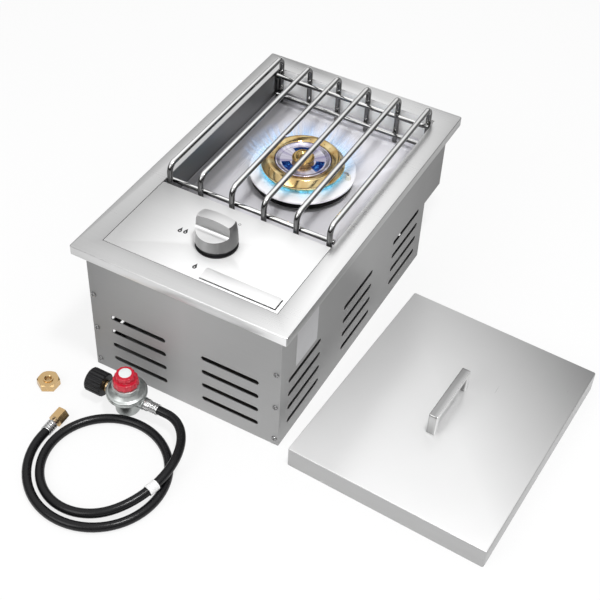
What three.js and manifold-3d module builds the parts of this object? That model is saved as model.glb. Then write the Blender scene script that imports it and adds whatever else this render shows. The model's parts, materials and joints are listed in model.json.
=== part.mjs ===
import * as THREE from 'three';
import { mergeVertices } from 'three/addons/utils/BufferGeometryUtils.js';
import Module from 'manifold-3d';

// Built-in side burner with its lift-off lid and its regulator hose, in millimetres.
// +X runs right along the front, +Y to the rear and +Z up. The origin lies on the
// underside of the housing, under the middle of the top frame.

const wasm = await Module();
wasm.setup();

// Driving sizes

const sheet = 1.2;
const seam = 0.3;
const overrun = 5;

const frame = { width: 320, depth: 522, top: 226, drop: 14, border: 30.5, overhang: 14, fold: 1.4,
  foldSteps: 3 };
const housing = { stepHeight: 106, stepSetback: 55, tab: 20, upstand: 8 };
const vent = { length: 87, width: 8, pitch: 26.3, lowest: 28, rows: 4, arcSteps: 3, frontOffset: 71.25,
  sidePitch: 153.9, sideGroups: 3 };
const screw = { hole: 4.4, shank: 3.6, shankLength: 6, head: 8, headHeight: 2.4, rim: 0.7, recess: 1.1,
  recessDepth: 1.2, lowest: 12, pitch: 62.5, rows: 3, inset: 6, sides: 10, edgeShare: 0.8 };
const panel = { depth: 139.5, gap: 0.8, skirt: 12, stemHole: 14 };
const shield = { clearBelow: 80, tab: 12, tubeGap: 1 };
const well = { depth: 56, ledge: 10 };
const tray = { gap: 0.8, rim: 15, holeGap: 1.5 };

const grate = { rod: 8, cross: 7, pitch: 49, count: 6, bend: 12, bendSteps: 5, above: 29.5,
  wallGap: 2.3, upperBelow: 4, lowerBelow: 38, sideGap: 3.4, sides: 8 };

const burner = { sides: 28, rise: 20, rim: 74.5, rimDepth: 8, channel: 50, waist: 52, throat: 48,
  flareDepth: 14, depth: 60.2, wall: 4, foot: 6, post: 9, postHeight: 14 };
const disc = { radius: 76.5, thickness: 1.5, lip: 3, lipWall: 1.2 };
const ring = { radius: 60, foot: 53.5, footHeight: 2, wall: 3.2, inner: 40.5, innerWall: 2.6, height: 22,
  flare: 11.5, top: 4, crown: 52, shoulder: 17, innerTop: 19, ports: 24, portWidth: 2.6, portHeight: 3,
  portLevel: 4 };
const cup = { gap: 0.8, height: 5, floor: 2, dishRadius: 35, windowInner: 18.5, windowOuter: 31,
  windows: 3, windowShare: 0.44, windowSteps: 8 };
const cap = { radius: 16, height: 10, edge: 3, brim: 8, dish: 2, hub: 6 };
const bracket = { width: 26, lip: 14 };
const igniter = { turn: 11, ceramic: 3.5, collar: 4.4, above: 8, below: 35.2, wire: 1.1, tip: 6.5,
  bendSteps: 4, sides: 10, collarHeight: 2, wireSides: 8, hole: 4.2 };

const mixer = { tube: 11, wall: 1.2, level: 41.2, flange: 14, flangeThickness: 4, sides: 24, shutter: 3,
  shutterWall: 1, shutterWidth: 22, windowWidth: 9, windowLength: 13, windowOffset: 12, nose: 3 };
const valve = { width: 30, depth: 28, belowJet: 12, bore: 4.6, boreDepth: 24, spud: 5, spudLength: 12,
  spudTip: 2.4, spudTipLength: 5, spudBore: 0.6, sides: 16 };
const hat = { width: 44, depth: 28, drop: 28, tab: 12, thickness: 1.5 };
const stem = { radius: 4, below: 20, above: 23.5 };
const spring = { radius: 6.6, wire: 1.1, turns: 4, loopSteps: 8, wireSides: 5, height: 15 };
const washer = { radius: 8.5, thickness: 1.6 };
const pipe = { radius: 6, bend: 24, bendSteps: 6, sides: 16, level: 60, past: 26 };
const inlet = { hex: 11, hexLength: 10, thread: 8, threadLength: 14, cone: 3, sides: 16, bore: 4,
  lip: 1 };

const knob = { y: 69.5, lift: 8.5, base: 28.3, top: 26.4, height: 38.5, edge: 1.6, cavity: 25.6,
  ceiling: 7, hub: 8, hubDrop: 8.5, grip: 15.5, scoopLevel: 19, scoopFall: 4, fillet: 6,
  filletSteps: 4, lean: 1.6, sides: 40 };
const bezel = { radius: 25, bore: 12, height: 11, edge: 1.2, foot: 28.3, footHeight: 1.5, sides: 32 };

const lid = { width: 284, depth: 350, height: 32, fold: 1.4, gap: 25, y: -100, turn: -3 };
const handle = { length: 100, width: 12, height: 36, bar: 9, fold: 2 };

const kit = { x: -30, gap: 20 };
const hose = { diameter: 12.5, inner: 68, pitch: 16.5, leadX: 30, leadY: 37, leadTurn: 145,
  dropTurn: 240, riseTurn: 75, turn: 630, outlet: 27, loopSteps: 24, sides: 6, end: 10, apartTurn: 180 };
const casting = { foot: 12, footRise: 3, body: 17, shoulder: 26, rim: 28, rimLevel: 36, rimDepth: 5,
  port: 9, portPast: 1.5, sides: 28, portSides: 16 };
const bonnet = { shoulder: 23, neck: 19.5, rise: 3, height: 16, slope: 8 };
const dial = { skirt: 18, skirtTop: 17, skirtHeight: 10, groove: 12.5, grooveHeight: 3, button: 13.5,
  buttonHeight: 6, edge: 1.2, facets: 12, disc: 8.5, discHeight: 0.8 };
const nipple = { radius: 5, collar: 8, collarLength: 4, length: 30, nose: 1.5, sides: 16 };
const wheel = { radius: 17, bore: 13, length: 26, web: 5, neck: 5.6, ribs: 18, ribDepth: 1.1, edge: 1.2 };
const ferrule = { sleeve: 7.6, length: 15, nut: 8.5, nutLength: 6, sides: 16 };
const band = { turn: 95, radius: 7.5, bore: 6.65, length: 15, sides: 16 };
const swivel = { neck: 4.8, neckGap: 0.5, neckLength: 9, head: 6.2, headLength: 5, hex: 10.5, length: 17,
  wall: 3, bore: 7.4, sides: 18, tip: 3 };
const hexNut = { across: 28, thickness: 11, bore: 8, boss: 11, bossHeight: 1.6, x: -150, y: 85,
  chamfer: 1.6, sides: 24 };

// Levels and edges that follow from the driving sizes

const frameTop = frame.top;
const frameUnder = frameTop - sheet;
const openHalfWidth = frame.width / 2 - frame.border;
const openHalfDepth = frame.depth / 2 - frame.border;
const bodyHalfWidth = frame.width / 2 - frame.overhang;
const bodyHalfDepth = frame.depth / 2 - frame.overhang;
const lowerRear = bodyHalfDepth - housing.stepSetback;
const lowerMiddle = (lowerRear - bodyHalfDepth) / 2;
const panelRear = panel.depth - openHalfDepth;
const wellFront = panelRear + seam + sheet;
const wellMiddle = (wellFront + openHalfDepth) / 2;
const wellHalfDepth = (openHalfDepth - wellFront) / 2;
const ledgeTop = frameTop - well.depth;
const trayFloor = ledgeTop + sheet;
const burnerLevel = trayFloor + burner.rise;
const trayHole = burner.waist + tray.holeGap;
const knobY = -openHalfDepth + knob.y;
const mixerLevel = burnerLevel - mixer.level;
const hatFloor = frameUnder - hat.drop;
const valveTop = hatFloor;
const valveBottom = mixerLevel - valve.belowJet;
const pipeLevel = pipe.level;
const igniterTurn = THREE.MathUtils.degToRad(igniter.turn);
const igniterRadius = (ring.radius + burner.rim) / 2;
const igniterX = igniterRadius * Math.cos(igniterTurn);
const igniterY = igniterRadius * Math.sin(igniterTurn);

// Finishes

function finish(color, roughness, metalness) {
  return new THREE.MeshStandardMaterial({ color, roughness, metalness });
}

const stainless = () => finish(0xc9cacb, 0.36, 0.9);
const polished = () => finish(0xd4d5d6, 0.16, 1);
const brass = () => finish(0xc79a3c, 0.28, 0.95);
const zinc = () => finish(0xb4b6b8, 0.42, 0.85);
const castIron = () => finish(0x17181a, 0.7, 0.3);
const blackPlastic = () => finish(0x141414, 0.55, 0);
const blackRubber = () => finish(0x1c1c1c, 0.6, 0);
const redPlastic = () => finish(0xc4202c, 0.35, 0);
const whitePlastic = () => finish(0xf0f0ee, 0.5, 0);
const porcelain = () => finish(0xf2efe6, 0.3, 0);

// Meshes and solids

function tidied(geometry) {
  const bare = geometry.index ? geometry.toNonIndexed() : geometry.clone();
  for (const name of Object.keys(bare.attributes)) if (name !== 'position') bare.deleteAttribute(name);
  const merged = mergeVertices(bare);
  const corner = (i) => merged.index.getX(i);
  const kept = [];
  for (let i = 0; i < merged.index.count; i += 3) {
    const face = [corner(i), corner(i + 1), corner(i + 2)];
    if (new Set(face).size === 3) kept.push(...face);
  }
  merged.setIndex(kept);
  return signedVolume(merged) < 0 ? turnedInsideOut(merged) : merged;
}

function signedVolume(geometry) {
  const [a, b, c] = [new THREE.Vector3(), new THREE.Vector3(), new THREE.Vector3()];
  const { index, attributes: { position } } = geometry;
  let sum = 0;
  for (let i = 0; i < index.count; i += 3) {
    a.fromBufferAttribute(position, index.getX(i));
    b.fromBufferAttribute(position, index.getX(i + 1));
    c.fromBufferAttribute(position, index.getX(i + 2));
    sum += a.dot(b.cross(c)) / 6;
  }
  return sum;
}

function turnedInsideOut(geometry) {
  const flipped = Array.from(geometry.index.array);
  for (let i = 0; i < flipped.length; i += 3) [flipped[i], flipped[i + 1]] = [flipped[i + 1], flipped[i]];
  geometry.setIndex(flipped);
  return geometry;
}

function solid(geometry) {
  const ready = tidied(geometry);
  return new wasm.Manifold(new wasm.Mesh({
    numProp: 3,
    vertProperties: new Float32Array(ready.attributes.position.array),
    triVerts: new Uint32Array(ready.index.array),
  }));
}

function surface(manifold) {
  const mesh = manifold.getMesh();
  const geometry = new THREE.BufferGeometry();
  geometry.setAttribute('position', new THREE.BufferAttribute(new Float32Array(mesh.vertProperties), 3));
  geometry.setIndex(Array.from(mesh.triVerts));
  return geometry;
}

function joined(...shapes) {
  return surface(shapes.map(solid).reduce((whole, next) => whole.add(next)));
}

function cut(shape, ...cutters) {
  if (cutters.length === 0) return tidied(shape);
  return surface(cutters.map(solid).reduce((whole, next) => whole.subtract(next), solid(shape)));
}

function within(shape, limit) {
  return surface(solid(shape).intersect(solid(limit)));
}

// Shape helpers

function block([x0, x1], [y0, y1], [z0, z1]) {
  const box = new THREE.BoxGeometry(x1 - x0, y1 - y0, z1 - z0);
  return box.translate((x0 + x1) / 2, (y0 + y1) / 2, (z0 + z1) / 2);
}

function turned(profile, sides) {
  const points = profile.map(([radius, height]) => new THREE.Vector2(radius, height));
  return tidied(new THREE.LatheGeometry(points, sides)).rotateX(Math.PI / 2);
}

function drum(radius, [z0, z1], sides) {
  return turned([[0, z0], [radius, z0], [radius, z1], [0, z1]], sides);
}

function plate(outline, thickness) {
  return new THREE.ExtrudeGeometry(outline, { depth: thickness, bevelEnabled: false });
}

function outlineOf(points) {
  return new THREE.Shape(points.map(([x, y]) => new THREE.Vector2(x, y)));
}

function roundCornered(halfWidth, halfDepth, radius, steps) {
  const corners = [[1, 1, 0], [-1, 1, 1], [-1, -1, 2], [1, -1, 3]];
  const points = [];
  for (const [sx, sy, quarter] of corners) {
    for (let i = 0; i <= steps; i += 1) {
      const angle = (quarter + i / steps) * Math.PI / 2;
      points.push([sx * (halfWidth - radius) + radius * Math.cos(angle),
        sy * (halfDepth - radius) + radius * Math.sin(angle)]);
    }
  }
  return points;
}

function slot(length, width) {
  return outlineOf(roundCornered(length / 2, width / 2, width / 2, vent.arcSteps));
}

// A path through given points, read off point by point, so that a tube has one ring at each.
class PointPath extends THREE.Curve {
  constructor(points) {
    super();
    this.points = points;
  }

  getPoint(t, target = new THREE.Vector3()) {
    const place = t * (this.points.length - 1);
    const i = Math.min(Math.floor(place), this.points.length - 2);
    return target.lerpVectors(this.points[i], this.points[i + 1], place - i);
  }

  getPointAt(u, target) {
    return this.getPoint(u, target);
  }

  getTangent(t, target = new THREE.Vector3()) {
    const i = Math.round(t * (this.points.length - 1));
    const before = this.points[Math.max(i - 1, 0)];
    const here = this.points[i];
    const after = this.points[Math.min(i + 1, this.points.length - 1)];
    const arriving = here.clone().sub(before).normalize();
    const leaving = after.clone().sub(here).normalize();
    return target.copy(arriving).add(leaving).normalize();
  }

  getTangentAt(u, target) {
    return this.getTangent(u, target);
  }
}

function tube(points, radius, sides) {
  const section = [];
  for (let i = 0; i < sides; i += 1) {
    const angle = (i + 1 / 2) * 2 * Math.PI / sides;
    section.push([radius * Math.cos(angle), radius * Math.sin(angle)]);
  }
  return tidied(new THREE.ExtrudeGeometry(outlineOf(section), {
    steps: points.length - 1, bevelEnabled: false, extrudePath: new PointPath(points),
  }));
}

function bendPoints(centre, radius, fromAngle, toAngle, steps, place) {
  const points = [];
  for (let i = 0; i <= steps; i += 1) {
    const angle = fromAngle + (toAngle - fromAngle) * i / steps;
    points.push(place(centre[0] + radius * Math.cos(angle), centre[1] + radius * Math.sin(angle)));
  }
  return points;
}

const alongX = (geometry) => geometry.rotateY(Math.PI / 2);
const alongY = (geometry) => geometry.rotateX(-Math.PI / 2);

function group(parent, x, y, z) {
  const place = new THREE.Group();
  place.position.set(x, y, z);
  parent.add(place);
  return place;
}

function add(parent, name, geometry, material, x = 0, y = 0, z = 0) {
  const mesh = new THREE.Mesh(tidied(geometry), material);
  mesh.name = name;
  mesh.position.set(x, y, z);
  parent.add(mesh);
  return mesh;
}

const sideBurner = new THREE.Group();

// Top frame: one folded sheet with its outer edges turned down and an opening in the middle

function foldedPan(halfWidth, halfDepth, height, fold) {
  const outline = outlineOf(roundCornered(halfWidth - fold, halfDepth - fold, fold, frame.foldSteps));
  const whole = new THREE.ExtrudeGeometry(outline, {
    depth: height, bevelEnabled: true, bevelSize: fold, bevelThickness: fold,
    bevelSegments: frame.foldSteps,
  }).translate(0, 0, -height - fold);
  const hollow = block([sheet - halfWidth, halfWidth - sheet], [sheet - halfDepth, halfDepth - sheet],
    [-height - fold - overrun, -sheet]);
  const foot = block([-halfWidth - overrun, halfWidth + overrun],
    [-halfDepth - overrun, halfDepth + overrun], [-height - fold - overrun, -height]);
  return cut(whole, hollow, foot);
}

function topFrame() {
  const opening = block([-openHalfWidth, openHalfWidth], [-openHalfDepth, openHalfDepth],
    [-frame.drop, overrun]);
  return cut(foldedPan(frame.width / 2, frame.depth / 2, frame.drop, frame.fold), opening);
}

add(sideBurner, 'top_frame', topFrame(), stainless(), 0, 0, frameTop);

// Vent slots, cut through a wall that lies in the XY plane of its own

function ventGroup(middle) {
  const cutters = [];
  for (let row = 0; row < vent.rows; row += 1) {
    const cutter = plate(slot(vent.length, vent.width), sheet + 2 * overrun);
    cutters.push(cutter.translate(middle, vent.lowest + row * vent.pitch, -overrun));
  }
  return cutters;
}

function screwLevels() {
  return Array.from({ length: screw.rows }, (_, i) => screw.lowest + i * screw.pitch);
}

function screwHoles(middles, depth) {
  return middles.flatMap((middle) => screwLevels().map((level) => (
    drum(screw.hole / 2, [-overrun, depth + overrun], screw.sides).translate(middle, level, 0))));
}

// A wall drawn in width and height stands up: its width runs along X and its thickness along +Y
const stoodUp = (geometry) => geometry.rotateX(Math.PI / 2);

const screwOffset = bodyHalfWidth - screw.inset;

function frontPanel() {
  const outline = outlineOf([[-bodyHalfWidth, 0], [bodyHalfWidth, 0], [bodyHalfWidth, frameUnder],
    [-bodyHalfWidth, frameUnder]]);
  return stoodUp(cut(plate(outline, sheet), ...ventGroup(-vent.frontOffset), ...ventGroup(vent.frontOffset),
    ...screwHoles([-screwOffset, screwOffset], sheet)));
}

const housingGroup = group(sideBurner, 0, 0, 0);
const frontInner = -bodyHalfDepth + sheet;
add(housingGroup, 'front_panel', frontPanel(), stainless(), 0, frontInner, 0);

// Side panels: an L-shaped wall with a tab turned in behind the front panel and along each rear wall

function sidePanel() {
  const back = bodyHalfDepth - sheet;
  const outline = outlineOf([
    [frontInner, 0], [lowerRear - sheet, 0], [lowerRear - sheet, housing.stepHeight],
    [back, housing.stepHeight], [back, frameUnder], [frontInner, frameUnder],
  ]);
  const groups = Array.from({ length: vent.sideGroups }, (_, i) => (
    lowerMiddle + (i - (vent.sideGroups - 1) / 2) * vent.sidePitch));
  const wall = stoodUp(cut(plate(outline, sheet), ...groups.flatMap(ventGroup))).rotateZ(Math.PI / 2);
  const tabOutline = outlineOf([[-housing.tab, 0], [-sheet / 2, 0], [-sheet / 2, frameUnder],
    [-housing.tab, frameUnder]]);
  const tab = stoodUp(cut(plate(tabOutline, sheet), ...screwHoles([-screw.inset], sheet)));
  return joined(wall.translate(-sheet, 0, 0), tab.translate(0, frontInner + sheet, 0));
}

add(housingGroup, 'right_panel', sidePanel(), stainless(), bodyHalfWidth, 0, 0);
const leftPanel = sidePanel().applyMatrix4(new THREE.Matrix4().makeScale(-1, 1, 1));
add(housingGroup, 'left_panel', leftPanel, stainless(), -bodyHalfWidth, 0, 0);

// Rear walls: the upper one, and the step and lower wall that are one bent sheet

function rearUpper() {
  return block([-bodyHalfWidth, bodyHalfWidth], [bodyHalfDepth - sheet, bodyHalfDepth],
    [housing.stepHeight, frameUnder]);
}

function rearLower() {
  const outline = outlineOf([[-bodyHalfWidth, 0], [bodyHalfWidth, 0], [bodyHalfWidth, housing.stepHeight],
    [-bodyHalfWidth, housing.stepHeight]]);
  const pipeHole = drum(pipe.radius + seam, [-overrun, sheet + overrun], pipe.sides);
  const wall = stoodUp(cut(plate(outline, sheet), ...ventGroup(-vent.frontOffset),
    ...ventGroup(vent.frontOffset), pipeHole.translate(0, pipeLevel, 0))).translate(0, lowerRear, 0);
  const step = block([-bodyHalfWidth, bodyHalfWidth], [lowerRear - sheet / 2, bodyHalfDepth],
    [housing.stepHeight - sheet, housing.stepHeight]);
  return joined(wall, step);
}

add(housingGroup, 'rear_upper_panel', rearUpper(), stainless());
add(housingGroup, 'rear_lower_panel', rearLower(), stainless());

// Bottom pan, with its edges turned up inside the walls

function bottomPan() {
  const halfWidth = bodyHalfWidth - sheet - seam;
  const front = frontInner + sheet + seam;
  const rear = lowerRear - sheet - seam;
  const whole = block([-halfWidth, halfWidth], [front, rear], [0, housing.upstand]);
  const hollow = block([sheet - halfWidth, halfWidth - sheet], [front + sheet, rear - sheet],
    [sheet, housing.upstand + overrun]);
  return cut(whole, hollow);
}

add(housingGroup, 'bottom_pan', bottomPan(), stainless());

// Pan-head screws of the front panel

function panHead() {
  const edge = screw.head / 2 * screw.edgeShare;
  const body = turned([[0, -screw.shankLength], [screw.shank / 2, -screw.shankLength], [screw.shank / 2, 0],
    [screw.head / 2, 0], [screw.head / 2, screw.rim], [edge, screw.headHeight - screw.rim / 2],
    [0, screw.headHeight]], screw.sides);
  const arm = (long, wide) => block([-long / 2, long / 2], [-wide / 2, wide / 2],
    [screw.headHeight - screw.recessDepth, screw.headHeight + overrun]);
  return cut(body, arm(edge, screw.recess), arm(screw.recess, edge));
}

[-screwOffset, screwOffset].forEach((x, side) => screwLevels().forEach((z, row) => {
  const name = `panel_screw_${side * screw.rows + row + 1}`;
  add(housingGroup, name, panHead().rotateX(Math.PI / 2), polished(), x, -bodyHalfDepth, z);
}));

// Control panel: an upside-down pan that sits flush in the front of the opening

const panelFront = -openHalfDepth + panel.gap;
const panelHalfWidth = openHalfWidth - panel.gap;

function controlPanel() {
  const middle = (panelFront + panelRear) / 2;
  const halfDepth = (panelRear - panelFront) / 2;
  const whole = block([-panelHalfWidth, panelHalfWidth], [-halfDepth, halfDepth], [-panel.skirt, 0]);
  const hollow = block([sheet - panelHalfWidth, panelHalfWidth - sheet],
    [sheet - halfDepth, halfDepth - sheet], [-panel.skirt - overrun, -sheet]);
  const hole = drum(panel.stemHole / 2, [-panel.skirt, overrun], bezel.sides);
  return cut(whole, hollow, hole.translate(0, knobY - middle, 0)).translate(0, middle, 0);
}

add(sideBurner, 'control_panel', controlPanel(), stainless(), 0, 0, frameTop);

// Heat shield: the wall between the control box and the burner, with a tab under the panel's skirt

function heatShield() {
  const halfWidth = bodyHalfWidth - sheet - seam;
  const top = frameTop - panel.skirt;
  const wall = block([-halfWidth, halfWidth], [panelRear - sheet, panelRear], [shield.clearBelow, top]);
  const tab = block([-halfWidth, halfWidth], [panelRear - shield.tab, panelRear - sheet / 2],
    [top - sheet, top]);
  const hole = alongY(drum(mixer.tube + shield.tubeGap, [-shield.tab, shield.tab], mixer.sides));
  return cut(joined(wall, tab), hole.translate(0, panelRear, mixerLevel));
}

add(sideBurner, 'heat_shield', heatShield(), stainless());

// Burner well: four walls that hang from the frame, with a ledge turned in at the bottom

function wellLiner() {
  const height = frameUnder - ledgeTop + sheet;
  const outer = block([-openHalfWidth - sheet, openHalfWidth + sheet],
    [-wellHalfDepth - sheet, wellHalfDepth + sheet], [-sheet, height - sheet]);
  const room = block([-openHalfWidth, openHalfWidth], [-wellHalfDepth, wellHalfDepth],
    [0, height + overrun]);
  const opening = block([well.ledge - openHalfWidth, openHalfWidth - well.ledge],
    [well.ledge - wellHalfDepth, wellHalfDepth - well.ledge], [-sheet - overrun, overrun]);
  return cut(outer, room, opening);
}

const wellGroup = group(sideBurner, 0, wellMiddle, ledgeTop);
add(wellGroup, 'well_liner', wellLiner(), stainless());

function dripTray() {
  const halfWidth = openHalfWidth - tray.gap;
  const halfDepth = wellHalfDepth - tray.gap;
  const height = sheet + tray.rim;
  const whole = block([-halfWidth, halfWidth], [-halfDepth, halfDepth], [0, height]);
  const hollow = block([sheet - halfWidth, halfWidth - sheet], [sheet - halfDepth, halfDepth - sheet],
    [sheet, height + overrun]);
  const hole = drum(trayHole, [-overrun, height], burner.sides);
  return cut(whole, hollow, hole, igniterHole());
}

add(wellGroup, 'drip_tray', dripTray(), stainless());

// Grate: six bent rods with four straight rods welded across them

const grateGroup = group(sideBurner, 0, wellMiddle, trayFloor);
const rodRadius = grate.rod / 2;
const crossRadius = grate.cross / 2;
const grateTop = frameTop + grate.above - trayFloor - rodRadius;
const legOffset = wellHalfDepth - grate.wallGap - rodRadius;

function grateRod() {
  const place = (y, z) => new THREE.Vector3(0, y, z);
  const bendLevel = grateTop - grate.bend;
  const bendOffset = legOffset - grate.bend;
  return tube([
    place(-legOffset, seam),
    ...bendPoints([-bendOffset, bendLevel], grate.bend, Math.PI, Math.PI / 2, grate.bendSteps, place),
    ...bendPoints([bendOffset, bendLevel], grate.bend, Math.PI / 2, 0, grate.bendSteps, place),
    place(legOffset, seam),
  ], rodRadius, grate.sides);
}

for (let i = 0; i < grate.count; i += 1) {
  const x = (i - (grate.count - 1) / 2) * grate.pitch;
  add(grateGroup, `grate_rod_${i + 1}`, grateRod(), polished(), x);
}

const crossHalfLength = openHalfWidth - grate.sideGap;
const crossOffset = legOffset - rodRadius - crossRadius - seam / 3;
const crossBars = [['upper', grate.upperBelow], ['lower', grate.lowerBelow]];

for (const [height, below] of crossBars) {
  for (const [end, y] of [['front', -crossOffset], ['rear', crossOffset]]) {
    const ends = [-crossHalfLength, crossHalfLength].map((x) => new THREE.Vector3(x, 0, 0));
    const bar = tube(ends, crossRadius, grate.sides);
    add(grateGroup, `grate_${end}_${height}_bar`, bar, polished(), 0, y, frameTop - below - trayFloor);
  }
}

// Burner, measured from the rim that its disc and ring stand on

const burnerGroup = group(sideBurner, 0, wellMiddle, burnerLevel);

function igniterHole() {
  return drum(igniter.hole, [-burner.depth, overrun], igniter.sides).translate(igniterX, igniterY, 0);
}

function burnerBase() {
  const floor = burner.wall - burner.depth;
  const bowl = turned([
    [0, -burner.depth], [burner.waist - burner.foot, -burner.depth],
    [burner.waist, burner.foot - burner.depth],
    [burner.waist, -burner.flareDepth], [burner.channel + burner.wall, -burner.rimDepth],
    [burner.rim, -burner.rimDepth], [burner.rim, 0], [burner.channel, 0],
    [burner.channel, -burner.wall], [burner.throat, -burner.flareDepth + burner.wall],
    [burner.throat, floor], [burner.post, floor], [burner.post, burner.postHeight], [0, burner.postHeight],
  ], burner.sides);
  const mouth = alongY(drum(mixer.tube + seam, [-burner.rim, -burner.throat / 2], mixer.sides));
  const bossSpan = [-burner.waist - mixer.flangeThickness, -burner.throat - seam];
  const bossBore = alongY(drum(mixer.tube + seam, [-burner.rim, 0], mixer.sides));
  const boss = cut(alongY(drum(mixer.flange, bossSpan, mixer.sides)), bossBore);
  const hollowed = cut(bowl, mouth.translate(0, 0, -mixer.level), igniterHole());
  return joined(hollowed, boss.translate(0, 0, -mixer.level));
}

add(burnerGroup, 'burner_base', burnerBase(), castIron());

function dripDisc() {
  const outer = disc.radius;
  const inner = ring.foot + seam;
  const whole = turned([
    [inner, 0], [outer - disc.lipWall, 0], [outer - disc.lipWall, -disc.lip],
    [outer, -disc.lip], [outer, disc.thickness * 2 / 3], [outer - disc.lipWall, disc.thickness],
    [inner, disc.thickness], [inner, 0],
  ], burner.sides);
  return cut(whole, igniterHole());
}

add(burnerGroup, 'burner_disc', dripDisc(), polished());

function flameRing() {
  const inner = ring.inner;
  const footInner = ring.foot - ring.wall;
  const body = turned([
    [footInner, 0], [ring.foot, 0], [ring.foot, ring.footHeight],
    [ring.radius, ring.flare], [ring.radius, ring.shoulder - ring.wall],
    [ring.radius - ring.wall, ring.shoulder], [ring.crown, ring.height],
    [ring.crown - ring.top, ring.height],
    [inner, ring.innerTop], [inner, ring.top / 2], [inner + ring.innerWall, ring.top / 2],
    [inner + ring.innerWall, ring.innerTop - ring.top], [ring.crown - ring.top, ring.height - ring.top],
    [ring.radius - ring.wall, ring.shoulder - ring.top], [footInner, ring.footHeight], [footInner, 0],
  ], burner.sides);
  const wallSpan = [footInner - overrun / 2, ring.radius + overrun];
  const ports = Array.from({ length: ring.ports }, (_, i) => {
    const port = block(wallSpan, [-ring.portWidth / 2, ring.portWidth / 2],
      [ring.portLevel, ring.portLevel + ring.portHeight]);
    return port.rotateZ((i + 1 / 2) * 2 * Math.PI / ring.ports);
  });
  return cut(body, ...ports);
}

add(burnerGroup, 'flame_ring', flameRing(), brass());

function innerCup() {
  const outer = ring.inner - cup.gap;
  const floor = burner.postHeight;
  const top = floor + cup.height;
  const body = turned([
    [0, floor], [cup.dishRadius, floor], [outer, floor + cup.height / 2], [outer, top],
    [outer - cup.floor, top], [outer - cup.floor, floor + cup.height / 2 + cup.floor],
    [cup.dishRadius - cup.floor, floor + cup.floor], [0, floor + cup.floor],
  ], burner.sides);
  const span = cup.windowShare * 2 * Math.PI / cup.windows;
  const arc = (radius, direction) => Array.from({ length: cup.windowSteps + 1 }, (_, i) => {
    const angle = direction * span * (i / cup.windowSteps - 1 / 2);
    return [radius * Math.cos(angle), radius * Math.sin(angle)];
  });
  const opening = outlineOf([...arc(cup.windowOuter, 1), ...arc(cup.windowInner, -1)]);
  const windows = Array.from({ length: cup.windows }, (_, i) => (
    plate(opening, cup.floor + 2 * overrun).translate(0, 0, floor - overrun)
      .rotateZ(i * 2 * Math.PI / cup.windows)));
  return cut(body, ...windows);
}

add(burnerGroup, 'inner_cup', innerCup(), polished());

function centreCap() {
  return turned([
    [0, 0], [cap.radius - cap.edge, 0], [cap.radius - cap.edge, cap.edge],
    [cap.radius, cap.edge + cap.edge / 3], [cap.radius, cap.height - cap.edge],
    [cap.radius - cap.edge, cap.height], [cap.brim, cap.height],
    [cap.hub, cap.height - cap.dish], [0, cap.height - cap.dish],
  ], burner.sides).translate(0, 0, burner.postHeight + cup.floor);
}

add(burnerGroup, 'centre_cap', centreCap(), brass());

// Igniter: a porcelain sleeve through the disc and the rim, with a bent wire inside

function igniterCeramic() {
  const collarTop = disc.thickness + igniter.collarHeight;
  return turned([
    [igniter.wire + seam, -igniter.below], [igniter.ceramic, -igniter.below],
    [igniter.ceramic, disc.thickness], [igniter.collar, disc.thickness], [igniter.collar, collarTop],
    [igniter.ceramic, collarTop], [igniter.ceramic, igniter.above],
    [igniter.wire + seam, igniter.above], [igniter.wire + seam, -igniter.below],
  ], igniter.sides);
}

function igniterWire() {
  const rise = igniter.above + igniter.wire;
  const bend = 2 * igniter.wire;
  const place = (x, z) => new THREE.Vector3(-x, 0, z);
  return tube([
    place(0, -igniter.below), place(0, rise),
    ...bendPoints([bend, rise], bend, Math.PI, Math.PI / 2, igniter.bendSteps, place).slice(1),
    place(igniter.tip, rise + bend),
  ], igniter.wire, igniter.wireSides);
}

add(burnerGroup, 'igniter_ceramic', igniterCeramic(), porcelain(), igniterX, igniterY, 0);
add(burnerGroup, 'igniter_wire', igniterWire().rotateZ(igniterTurn), polished(), igniterX, igniterY, 0);

// Bracket: a strip under the base, turned down at both ends against the side walls

const bracketTop = burnerLevel - burner.depth;

function burnerBracket() {
  const halfWidth = bodyHalfWidth - sheet - seam;
  const halfDepth = bracket.width / 2;
  const strip = block([-halfWidth, halfWidth], [-halfDepth, halfDepth], [-sheet, 0]);
  const end = (x) => block([x, x + sheet], [-halfDepth, halfDepth], [-bracket.lip, -sheet / 2]);
  return joined(strip, end(-halfWidth), end(halfWidth - sheet));
}

add(sideBurner, 'burner_bracket', burnerBracket(), stainless(), 0, wellMiddle, bracketTop);

// Mixing tube: from the burner's socket forward through the shield, with air windows at its nose

const tubeRear = wellMiddle - burner.throat - seam;
const tubeFront = knobY + valve.depth / 2 + valve.spudLength + mixer.nose;

function airWindow() {
  return block([-mixer.windowWidth / 2, mixer.windowWidth / 2],
    [-mixer.tube - overrun, mixer.tube + overrun],
    [mixer.windowOffset - mixer.windowLength / 2, mixer.windowOffset + mixer.windowLength / 2]);
}

function mixingTube() {
  const length = tubeRear - tubeFront;
  const bore = mixer.tube - mixer.wall;
  const profile = [[bore, 0], [mixer.tube, 0], [mixer.tube, length], [bore, length], [bore, 0]];
  return alongY(cut(turned(profile, mixer.sides), airWindow()));
}

function airShutter() {
  const bore = mixer.tube + seam;
  const outer = bore + mixer.shutterWall;
  const width = mixer.shutterWidth;
  const shell = turned([[bore, 0], [outer, 0], [outer, width], [bore, width], [bore, 0]], mixer.sides);
  const finger = block([outer - mixer.shutterWall / 2, outer + mixer.shutter],
    [-mixer.shutter / 2, mixer.shutter / 2], [width - mixer.shutter, width]);
  return alongY(cut(joined(shell, finger), airWindow()));
}

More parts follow.
